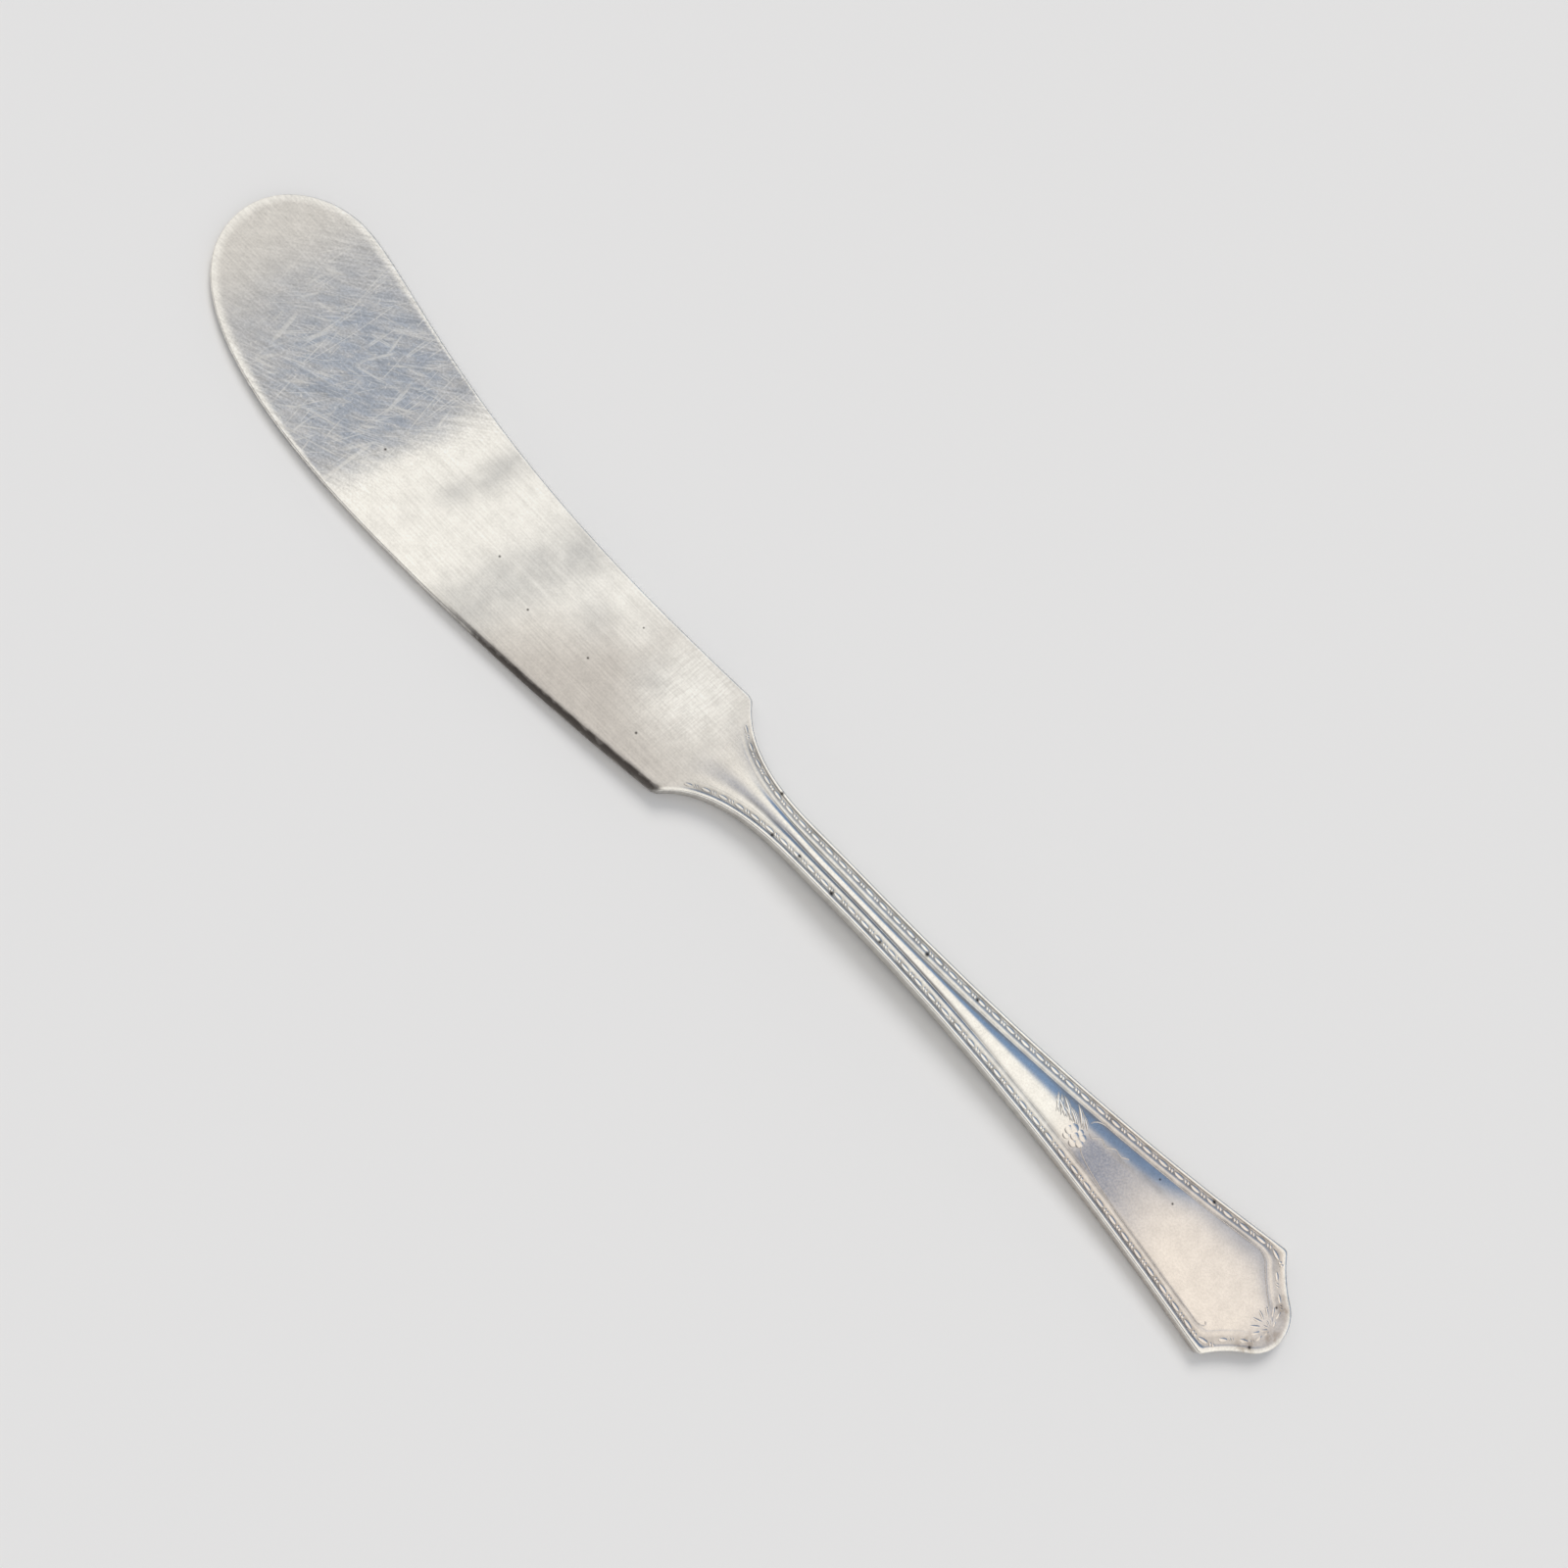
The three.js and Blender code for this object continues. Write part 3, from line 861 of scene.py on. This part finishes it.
def leaf_spray(name, side, surface, material):
    """The palmette on one side, with the plume on the spine's, their leaflets bowed to the axis."""
    chance = np.random.default_rng(LEAF_SEED)
    leaves = [*palmette_leaves(side, chance)]
    if side < 0:
        leaves.extend(plume_leaves(chance))
    plan, along, size, sink = (np.array(part) for part in zip(*leaves))
    depth = sink * size * LEAF_SIZES["Height"]
    piece = on_stations(name, surface, plan, along, size, depth)
    return grown(piece, leaf_tree(material), LEAF_SIZES | {"Bow": side * LEAF_SIZES["Bow"]})


BERRY_SIZES = {"Berry width": 1.1, "Height": 0.13}
BERRY_SINK = 0.075
BERRY_SEED = 3
BERRY_SPREAD = 0.14
BERRY_SCALES = (0.7, 1.05)
ROSETTE = (28.6, 0.75)
ROSETTE_RADII = (0.9, 0.62)  # along the handle and across it
BERRIES = 7  # round the rosette


def spray_berries(surface, material):
    """A rosette of low domes under the plume."""
    chance = np.random.default_rng(BERRY_SEED)
    turn = np.linspace(0, 2 * math.pi, BERRIES, endpoint=False)
    ring = ROSETTE + np.stack([np.cos(turn), np.sin(turn)], 1) * ROSETTE_RADII
    ring += chance.uniform(-BERRY_SPREAD, BERRY_SPREAD, ring.shape)
    plan = np.concatenate([[ROSETTE], ring])
    size = chance.uniform(*BERRY_SCALES, len(plan))
    along = np.tile([1.0, 0.0], (len(plan), 1))
    piece = on_stations("spray_berries", surface, plan, along, size, BERRY_SINK * size)
    return grown(piece, berry_tree(material), BERRY_SIZES)


THREAD_INSET = 0.27  # panel's thread inside the border
THREAD_RADIUS = 0.07
THREAD_SINK = 0.01
THREAD_TOP = PANEL_X - 3.5  # where it leaves the border for the spray
THREAD_STOP = {1: 4.6, -1: 1.5}  # from the axis, where it is worn away at the end
SCALLOP_START = {1: (27.4, 1.15), -1: (28.2, -1.3)}
SCALLOP_BOW = (-0.3, 2.3)  # along from its start, and across from the axis
SCALLOP_STEP = 40  # of the curve's points
CURL_TURN = (-0.25, -0.3)  # of the hook at the end, on the belly's side
CURL_END = (0.35, -0.55)
CURL_STEP = 100
SCROLL_START = (27.7, -0.45)
SCROLL_LENGTH = 4.6
SCROLL_POINTS = 60
SCROLL_SLOPE = 0.2  # toward the spine
SCROLL_SWING = 0.26
SCROLL_FADE = 0.4  # of the swing that is left at its end
SCROLL_PITCH = 1.7


def panel_thread_path(side):
    """From the spray out to the border, along it to the corner, and back in beside the palmette."""
    run = along_side(parallel(BORDER + THREAD_INSET), side, range(HEEL - 1, -1, -1))
    run = run[(run[:, 0] < THREAD_TOP) & (abs(run[:, 1]) > THREAD_STOP[side])]
    start = SCALLOP_START[side]
    bow = (start[0] + SCALLOP_BOW[0], side * SCALLOP_BOW[1])
    scallop = bezier(start, bow, run[0])[::SCALLOP_STEP]
    turn, end = (run[-1] + np.array(step) * [1, side] for step in (CURL_TURN, CURL_END))
    curl = bezier(run[-1], turn, end)[CURL_STEP::CURL_STEP]
    return np.concatenate([scallop, run[1::2], curl])


def scroll_path():
    """A tendril that trails from the rosette along the spine's side of the panel's middle."""
    along = np.linspace(0, SCROLL_LENGTH, SCROLL_POINTS)
    swing = SCROLL_SWING * mix(1, SCROLL_FADE, along / SCROLL_LENGTH)
    wave = swing * np.sin(2 * math.pi * along / SCROLL_PITCH)
    return np.stack([SCROLL_START[0] - along, SCROLL_START[1] - SCROLL_SLOPE * along + wave], 1)


def panel_threads(surface, material):
    """The thread round the panel, and the tendril under the spray."""
    points = []
    edges = []
    for path in (panel_thread_path(1), panel_thread_path(-1), scroll_path()):
        start = len(points)
        points.extend(on_surface(surface, path, THREAD_SINK))
        edges.extend((start + i, start + i + 1) for i in range(len(path) - 1))
    mesh = bpy.data.meshes.new("panel_thread_line")
    mesh.from_pydata(to_row(points), edges, [])
    piece = put_in_scene("panel_thread", mesh)
    return grown(piece, thread_tree(material), {"Radius": THREAD_RADIUS})


# Material


def linear(hex_colour):
    """sRGB hex to linear RGBA."""
    values = [int(hex_colour[i : i + 2], 16) / 255 for i in (1, 3, 5)]
    return [v / 12.92 if v <= 0.04045 else ((v + 0.055) / 1.055) ** 2.4 for v in values] + [1.0]


SILVER = linear("#f9f6ef")
HANDLE_SILVER = linear("#f0e6dc")
# Grey of worn smears, and of painted reflections of dark bands across the blade
WEAR_AND_REFLECTION_GREY = linear("#c2c1bf")
# Grey of the nose, dulled by its scratches and darkened further as painted shade
NOSE_WEAR_AND_SHADE_GREY = linear("#c2c1c1")
# Painted bluish reflection on the nose
NOSE_BLUE_REFLECTION = linear("#a8aeb8")
# Painted reflection: the tip lighter than the nose
TIP_REFLECTION_GREY = linear("#dad6d0")
HEEL_GREY = linear("#cfc9c2")
# Bluish grey of the painted shade over the panel, the handle's end and the ridge
BLUISH_SHADE = linear("#989ba7")
# Dark tarnish in the sunk lines, also used as painted shade on the sides, the ground edge and the
# flutes
TARNISH_AND_SHADE = linear("#48423e")
PIT = linear("#2c2825")
STAIN = linear("#93816f")
ROUGHNESS = (0.18, 0.3)  # of the handle and the blade
NOSE_ROUGHNESS = 0.04  # more, on the nose
TARNISH_ROUGHNESS = 0.3  # more, under full tarnish and painted shade

# Patterns: marks to a millimetre, the same all ways or along x, y and z. The brushing, hatching,
# speckle and grit, and the mottle of the painted shade, are really finer than this, and drawn as
# coarse as they need to show.
CLOUDS = 0.25
WAVES = 0.13
BENDS = ((0.3, 1.0), (0.1, 0.0))  # and detail
BRUSHED = (0.15, 5.0, 1.0)
HATCHED = (4.5, 0.7, 1.0)
WIPED = (0.14, 4.0, 1.0)
SCRATCH_STRETCH = 0.02  # marks along a scratch, to those across it
# Patterns that also have a span of the grain, the cover that it gives, and detail
SHADE_MOTTLE = (4.5, (0.32, 0.68), (0.84, 1.08), 3.0)
SPECKLE = (4.0, (0.3, 0.7), (0.96, 1.06), 3.0)
MOTTLE = (0.7, (0.3, 0.7), (-0.05, 0.04), 5.0)
GRIT = (4.2, (0.3, 0.7), (-0.11, 0.11), 2.0)
SPECKS = (2.6, (0.66, 0.72), (0.0, 0.8), 1.0)
PATCHES = (0.9, (0.3, 0.7), (0.5, 0.95), 3.0)
SMOKE = (1.6, (0.36, 0.64), (0.1, 0.62), 4.0)
REFLECTION_PATCHES = ((0.42, 0.95, 1.0), (0.36, 0.64), (0.5, 1.5), 6.0)
CROSSED = ((5.0, 0.45, 1.0), (0.34, 0.66), (0.76, 1.24), 3.0)
SCRATCH_BREAKS = ((0.23, 1.0, 1.0), (0.51, 0.64), (0.0, 1.0), 2.0)
# Spans of a pattern and the cover that it gives
CLOUD_SPAN = (0.3, 0.7)
BRUSHED_SHADE = (0.25, 0.75, -0.07, 0.07)
WIPED_SHADE = (0.3, 0.7, -0.12, 0.12)
GRAIN_MIDDLE = 0.5
SCRATCH_LEVEL = (0.06, 0.0)  # from that middle

# Wear and painted reflections in the plan: x from the handle's end and y from its axis
BEND_REACH = (0.9, 0.9, 0.0)  # how far marks are pushed out of line
SWAY = 1.5  # of the edges across the blade
WEAR_SLANT = 0.27  # of the marks across the blade
HEEL_SLANT = 0.7  # more, of the grey that reaches from the heel along the belly
HEEL_GREY_RUN = (103, 90)
BLADE_RUN = (HEEL_X - 13, HEEL_X + 5)
HANDLE_RUN = (PANEL_X - 3, PANEL_X + 3)  # from the warmer silver of the panel
NOSE_RUN = (119.0, 124.5)
TIP_RUN = (140, 148)
USED_RUN = (116, 123)  # where the scratches of the nose set in
USED_TIP_RUN = (148, 134)
USED_TIP = 0.25  # how many are left at the tip
REFLECTED_BANDS = ((104.0, 5.6, 0.75), (115.0, 3.1, 0.7))  # middle, half width and strength of the painted reflections of dark bands
BAND_END = (4.0, -1.0)  # y where the band next to the nose runs out
BAND_REST = 0.15  # of it beyond
HATCH_TURN = 0.06
WIPED_WAYS = (39.0, 20.0)  # degrees of the wiping marks on the nose, at the spine and at the belly
WIPED_RUN = (-6, 5)
# Degrees of the nose's scratches, and lines to a millimetre
SCRATCHES = ((18, 1.9), (29, 2.3), (39, 2.8), (48, 1.8), (64, 1.2), (84, 1.4), (99, 1.1))
# Marks in the plan: x, y and radius
# Where the painted bluish reflection on the nose is centred
BLUE_REFLECTION_SPOT = (129.5, -1.5, 16.0)
HATCHED_PATCH = (85.5, -2.5, 9.5)
HATCHED_LINES = (85.5, -2.5, 10.0)
END_STAINS = ((2.6, -2.0, 1.7), (1.6, 0.9, 1.5), (3.4, -4.4, 1.4), (3.0, 3.4, 1.8))
DULL_SMEARS = ((97.5, -0.6, 3.6), (89.3, -0.5, 3.4))
BRIGHT_SMEARS = ((93.4, -2.8, 4.0), (86.0, -0.8, 3.6), (100.4, -2.0, 4.0), (84.5, -3.5, 4.0))
PITS = (
    (107.6, 1.5, 0.2), (122.8, 2.2, 0.22), (101.9, 3.2, 0.2), (94.5, 2.3, 0.2), (86.0, 4.1, 0.22),
    (93.0, -3.8, 0.16), (61.8, 1.5, 0.4), (51.1, -1.1, 0.4), (14.0, -4.8, 0.36), (2.1, 2.8, 0.27),
    (2.6, -1.9, 0.22), (66.5, 1.2, 0.3), (69.8, 1.6, 0.3), (72.0, -2.0, 0.3), (44.5, -1.6, 0.3),
    (55.2, 1.4, 0.3), (17.0, -1.6, 0.2), (19.5, -2.4, 0.18),
)
DULL_SMEAR = 0.32  # strengths
BRIGHT_SMEAR = 0.6
HATCHING = 0.5
EDGE_HIGHLIGHT = 0.85
SCRATCH_SHINE = 0.38
SCRATCH_RELIEF = 0.6
MOST_TARNISH_AND_SHADE = 0.9
RELIEF = {"Strength": 0.1, "Distance": 0.02 * MM}


def grain(add, place, scale, turn=0.0, detail=3.0):
    """An uneven pattern with so many marks to a millimetre, turned about z."""
    turned = add("ShaderNodeMapping", {"Vector": place, "Rotation": (0, 0, turn)})
    drawn = add(VECTOR, [turned, np.broadcast_to(scale, 3)], **TIMES)
    return add("ShaderNodeTexNoise", {"Vector": drawn, "Scale": 1.0, "Detail": detail})


def uneven(add, place, scale, span, cover, detail, turn=0.0):
    """A cover that goes from its first value to its last while a grain goes through span."""
    return add(RANGE, [grain(add, place, scale, turn, detail), *span, *cover], **SOFT)


def spot(add, place, mark, most=1.0):
    """Most at a mark's x and y, falling to 0 at its radius."""
    x, y, radius = mark
    apart = add(VECTOR, [place, (x, y, 0.0)], "Value", operation="DISTANCE")
    return add(RANGE, [apart, radius, 0.0, 0.0, most], **SOFT)


def stripe(add, value, middle, half):
    """1 at the middle, falling to 0 at half a width on either side."""
    sides = [add(RANGE, [value, middle + way * half, middle], **SOFT) for way in (-1, 1)]
    return add(MATH, sides, **TIMES)


def scratch_lines(add, swept, way, across):
    """Fine broken lines at an angle to the blade's length, about so many to a millimetre: the level
    lines of a grain drawn out along them."""
    turn = -math.radians(way)
    hills = grain(add, swept, (SCRATCH_STRETCH * across, across, 1.0), turn, detail=0.0)
    height = add(MATH, [hills, GRAIN_MIDDLE], operation="SUBTRACT")
    level = add(MATH, [height], operation="ABSOLUTE")
    line = add(RANGE, [level, *SCRATCH_LEVEL], **SOFT)
    broken = uneven(add, swept, *SCRATCH_BREAKS, turn)
    return add(MATH, [line, broken], **TIMES)


def silver_plate():
    """Silver plate, struck, brushed along the blade, then scratched and dulled by use and washing.
    To the eye it is a soft, broad mirror: bright where it faces the ceiling and cool on the flanks,
    with a fine grain along the blade, pale crossed scratches on a nose dulled by wear and painted
    shade, painted grey and bluish reflections and a lighter painted tip, painted bluish shade on
    the panel, a painted highlight along the edges, dark tarnish left in the sunk lines with painted
    shade on the sides and flutes, and a few stains and pits."""
    material = bpy.data.materials.new("worn_silver_plate")
    material.use_nodes = True
    tree = material.node_tree
    add = partial(add_node, tree)
    where = add("ShaderNodeTexCoord", output="Object")
    end = [LOW[0] * MM, AXIS_Y * MM, 0]
    from_end = add(VECTOR, [where, end], operation="SUBTRACT")
    place = add(VECTOR, {"Vector": from_end, "Scale": 1 / MM}, operation="SCALE")
    flat = add(VECTOR, [place, (1, 1, 0)], **TIMES)
    x, y, _ = add("ShaderNodeSeparateXYZ", [flat]).node.outputs
    pushed = []
    for scale, detail in BENDS:
        push = {"Vector": flat, "Scale": scale, "Detail": detail}
        push = add("ShaderNodeTexNoise", push, "Color")
        pushed.append(add(VECTOR, [push, BEND_REACH, flat], **TIMES_PLUS))
    bent, swept = pushed

    # Zones of the blade
    waves = grain(add, flat, WAVES, detail=1.0)
    sway = add(MATH, [waves, 2 * SWAY, -SWAY], **TIMES_PLUS)
    slanted = add(MATH, [y, -WEAR_SLANT, x], **TIMES_PLUS)
    ragged = add(MATH, [slanted, sway], operation="ADD")
    on_blade, past_panel, nose, tip, scratched, to_belly = (
        add(RANGE, [value, *run], **SOFT)
        for value, run in (
            (x, BLADE_RUN),
            (x, HANDLE_RUN),
            (ragged, NOSE_RUN),
            (ragged, TIP_RUN),
            (ragged, USED_RUN),
            (y, WIPED_RUN),
        )
    )
    # Patches of painted bluish reflection over the nose
    reflection_patches = uneven(add, flat, *REFLECTION_PATCHES, -math.radians(WIPED_WAYS[0]))
    reflection_patches = add(MATH, [reflection_patches, nose], **TIMES)
    middle = add(MATH, [spot(add, flat, BLUE_REFLECTION_SPOT), reflection_patches], **TIMES)
    crossed = uneven(add, flat, *CROSSED, HATCH_TURN)
    patch = add(MATH, [spot(add, bent, HATCHED_PATCH), crossed], **TIMES)
    for mark in BRIGHT_SMEARS:
        smear = spot(add, bent, mark, BRIGHT_SMEAR)
        patch = add(MATH, [patch, smear], operation="MAXIMUM")
    bare = add(MATH, [1.0, patch], operation="SUBTRACT")
    reach = add(MATH, [y, -HEEL_SLANT, ragged], **TIMES_PLUS)
    heel = add(RANGE, [reach, *HEEL_GREY_RUN], **SOFT)
    heel = add(MATH, [heel, on_blade], **TIMES)
    heel = add(MATH, [heel, bare], **TIMES)

    # Layers of colour over the handle's silver: share, colour, and how it is laid on
    layers = [(past_panel, SILVER, "MIX"), (heel, HEEL_GREY, "MIX")]
    clouds = grain(add, flat, CLOUDS)
    reaches = [1.0, add(RANGE, [y, *BAND_END, BAND_REST, 1.0], **SOFT)]
    # Painted reflections of dark bands across the blade
    for (at, half, strength), reach in zip(REFLECTED_BANDS, reaches):
        cloudy = add(RANGE, [clouds, *CLOUD_SPAN, 0.5 * strength, strength], **SOFT)
        band_shade = add(MATH, [stripe(add, ragged, at, half), cloudy], **TIMES)
        layers.append((add(MATH, [band_shade, reach], **TIMES), WEAR_AND_REFLECTION_GREY, "MIX"))
    for mark in DULL_SMEARS:
        layers.append((spot(add, bent, mark, DULL_SMEAR), WEAR_AND_REFLECTION_GREY, "MIX"))
    film, edge, tarnish = (
        add("ShaderNodeAttribute", attribute_name=label, output="Fac")
        for label in ("film", "edge_highlight", "tarnish")
    )
    # Painted bluish shade, mottled
    shade_mottle = uneven(add, flat, *SHADE_MOTTLE)
    layers.extend([
        (add(MATH, [film, shade_mottle], **TIMES), BLUISH_SHADE, "MIX"),
        # The nose, greyed by wear and by painted shade
        (nose, NOSE_WEAR_AND_SHADE_GREY, "MIX"),
        # Painted lighter reflection at the tip
        (tip, TIP_REFLECTION_GREY, "MIX"),
        # Painted bluish reflection on the nose
        (middle, NOSE_BLUE_REFLECTION, "MIX"),
        # Painted highlight along the edges, in the bright silver
        (add(MATH, [edge, EDGE_HIGHLIGHT], **TIMES), SILVER, "MIX"),
    ])

    # Brushing, which is hatched across on the patch beside the heel
    hatched = grain(add, flat, HATCHED)
    hatched = add(MATH, [hatched, GRAIN_MIDDLE], operation="SUBTRACT")
    across = spot(add, flat, HATCHED_LINES, HATCHING)
    lines = add(MATH, [hatched, across, grain(add, flat, BRUSHED)], **TIMES_PLUS)
    shine = add(RANGE, [lines, *BRUSHED_SHADE], **SOFT)
    speckle, mottle = (uneven(add, flat, *pattern) for pattern in (SPECKLE, MOTTLE))
    grey = add(MATH, [shine, on_blade, speckle], **TIMES_PLUS)
    layers.append((1.0, add(MATH, [grey, mottle], operation="ADD"), "MULTIPLY"))

    # Wiping marks, grit and scratches of the nose
    used = add(RANGE, [x, *USED_TIP_RUN, USED_TIP, 1.0], **SOFT)
    used = add(MATH, [used, scratched], **TIMES)
    ways = [grain(add, flat, WIPED, -math.radians(way)) for way in WIPED_WAYS]
    wiped = dict(zip(VALUE_MIX, (to_belly, *ways)))
    wiped = add("ShaderNodeMix", wiped, data_type="FLOAT")
    rubbing = add(RANGE, [wiped, *WIPED_SHADE], **SOFT)
    grit = uneven(add, flat, *GRIT)
    rubbing = add(MATH, [rubbing, grit], operation="ADD")
    rubbing = add(MATH, [rubbing, used, 1.0], **TIMES_PLUS)
    layers.append((1.0, rubbing, "MULTIPLY"))
    scratches = uneven(add, flat, *SPECKS)
    for way, many in SCRATCHES:
        line = scratch_lines(add, swept, way, many)
        scratches = add(MATH, [scratches, line], operation="MAXIMUM")
    scratches = add(MATH, [scratches, used], **TIMES)
    layers.append((add(MATH, [scratches, SCRATCH_SHINE], **TIMES), SILVER, "MIX"))

    # Tarnish with painted shade, stains and pits
    patchy = uneven(add, place, *PATCHES)
    tarnish_and_shade_share = add(MATH, [tarnish, patchy], **TIMES)
    tarnish_and_shade_share = add("ShaderNodeClamp", [tarnish_and_shade_share, 0.0, MOST_TARNISH_AND_SHADE])
    layers.append((tarnish_and_shade_share, TARNISH_AND_SHADE, "MIX"))
    smoky = uneven(add, flat, *SMOKE)
    for mark in END_STAINS:
        share = add(MATH, [spot(add, bent, mark), smoky], **TIMES)
        layers.append((share, STAIN, "MIX"))
    layers.extend((spot(add, flat, mark), PIT, "MIX") for mark in PITS)

    tone = HANDLE_SILVER
    for share, colour, mode in layers:
        laid = dict(zip(COLOUR_MIX, (share, tone, colour)))
        how = {"data_type": "RGBA", "blend_type": mode}
        tone = add("ShaderNodeMix", laid, MIXED_COLOUR, **how)
    rough = add(RANGE, [on_blade, 0.0, 1.0, *ROUGHNESS], **SOFT)
    for share, more in ((nose, NOSE_ROUGHNESS), (tarnish_and_shade_share, TARNISH_ROUGHNESS)):
        rough = add(MATH, [share, more, rough], **TIMES_PLUS)
    relief = add(MATH, [lines, on_blade], **TIMES)
    relief = add(MATH, [scratches, SCRATCH_RELIEF, relief], **TIMES_PLUS)
    bump = add("ShaderNodeBump", RELIEF | {"Height": relief})
    shader = tree.nodes["Principled BSDF"]
    shader.inputs["Metallic"].default_value = 1.0
    for socket, value in (("Base Color", tone), ("Roughness", rough), ("Normal", bump)):
        tree.links.new(value, shader.inputs[socket])
    return material


# Studio

FLOOR = {"Base Color": linear("#ebebeb"), "Roughness": 0.9, "Specular IOR Level": 0.0}
FLOOR_REACH = 3.0  # metres
LAMP_COLOUR = linear("#fffaf2")
LAMP_WAY = (0.35, -0.6, 0.7)  # from the object
LAMP_SPREAD = math.radians(28)  # as seen from the object
LAMP_POWER = 1.33
CEILING = "#fdfbf7"
CEILING_TURN = 0.22  # of its sides, off the handle's axis
# Where its colour begins and ends to change across it, and to what: dim over the belly, cool over
# the spine, and grey beyond that
CEILING_SIDES = ((0.14, 0.6, "#87868a"), (-0.32, -0.52, "#7793b9"), (-0.66, -0.84, "#787c84"))
BACKDROP = (0.45, 0.2, "#dcdcdb")  # the same, downward
CAMERA_TILT = math.radians(14.7)  # off the vertical, toward the belly side
CAMERA_ROLL = math.radians(134.1)  # from the picture's right to the blade's tip
CAMERA_DISTANCE = 192.7
CAMERA_AIM = (-2.46, -1.87, 0)
LENS = 45.0
SENSOR = 36.0
NEAREST = 0.01  # metres, that the camera sees


def camera():
    back = Vector((0, math.sin(CAMERA_TILT), math.cos(CAMERA_TILT)))
    along = Vector((1, 0, 0))
    across = back.cross(along)
    right = math.cos(CAMERA_ROLL) * along - math.sin(CAMERA_ROLL) * across
    up = math.sin(CAMERA_ROLL) * along + math.cos(CAMERA_ROLL) * across
    place = (Vector(CAMERA_AIM) + CAMERA_DISTANCE * back) * MM
    data = bpy.data.cameras.new("photo_camera")
    data.lens = LENS
    data.sensor_width = SENSOR
    data.clip_start = NEAREST
    eye = put_in_scene("photo_camera", data)
    eye.matrix_world = Matrix.Translation(place) @ Matrix((right, up, back)).transposed().to_4x4()
    bpy.context.scene.camera = eye


def floor():
    """Pale paint, rolled on: plain, and without sheen to the eye."""
    mesh = bpy.data.meshes.new("floor")
    corners = FLOOR_REACH * np.array([(-1, -1, 0), (1, -1, 0), (1, 1, 0), (-1, 1, 0)])
    mesh.from_pydata(corners.tolist(), [], [(0, 1, 2, 3)])
    material = bpy.data.materials.new("pale_floor")
    material.use_nodes = True
    shader = material.node_tree.nodes["Principled BSDF"]
    for socket, value in FLOOR.items():
        shader.inputs[socket].default_value = value
    put_in_scene("floor", mesh, material)


def lamp():
    """A soft lamp far off. It lights the floor evenly, and the metal doesn't mirror it."""
    data = bpy.data.lights.new("key", "SUN")
    data.angle = LAMP_SPREAD
    data.energy = LAMP_POWER
    data.color = LAMP_COLOUR[:3]
    piece = put_in_scene("key", data)
    piece.rotation_euler = Vector(LAMP_WAY).to_track_quat("Z", "Y").to_euler()
    piece.visible_glossy = False


def room():
    """A pale room with a plain backdrop, and a ceiling that is dimmer to both sides and cool on the
    spine's."""
    world = bpy.data.worlds.new("studio")
    world.use_nodes = True
    bpy.context.scene.world = world
    tree = world.node_tree
    add = partial(add_node, tree)
    way = add("ShaderNodeTexCoord", output="Generated")
    x, y, z = add("ShaderNodeSeparateXYZ", [way]).node.outputs
    across = add(MATH, [x, CEILING_TURN, y], **TIMES_PLUS)
    sky = linear(CEILING)
    changes = [*((across, *side) for side in CEILING_SIDES), (z, *BACKDROP)]
    for value, start, full, colour in changes:
        share = add(RANGE, [value, start, full], **SOFT)
        laid = dict(zip(COLOUR_MIX, (share, sky, linear(colour))))
        sky = add("ShaderNodeMix", laid, MIXED_COLOUR, data_type="RGBA")
    background = tree.nodes["Background"]
    tree.links.new(sky, background.inputs["Color"])
    background.inputs["Strength"].default_value = 1.0


def main():
    silver = silver_plate()
    skin = body_skin()
    surface = BVHTree.FromPolygons(skin.points, skin.faces)
    body = put_in_scene("struck_body", skin_mesh("struck_body", skin), silver)
    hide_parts(NODE)
    pieces = [
        body,
        bead_border(surface, silver),
        leaf_spray("belly_leaf_spray", 1, surface, silver),
        leaf_spray("spine_leaf_spray", -1, surface, silver),
        spray_berries(surface, silver),
        panel_threads(surface, silver),
    ]
    for piece in pieces:
        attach(piece, BODY)
    floor()
    room()
    lamp()
    camera()
    bpy.context.scene.view_settings.view_transform = "Standard"


main()
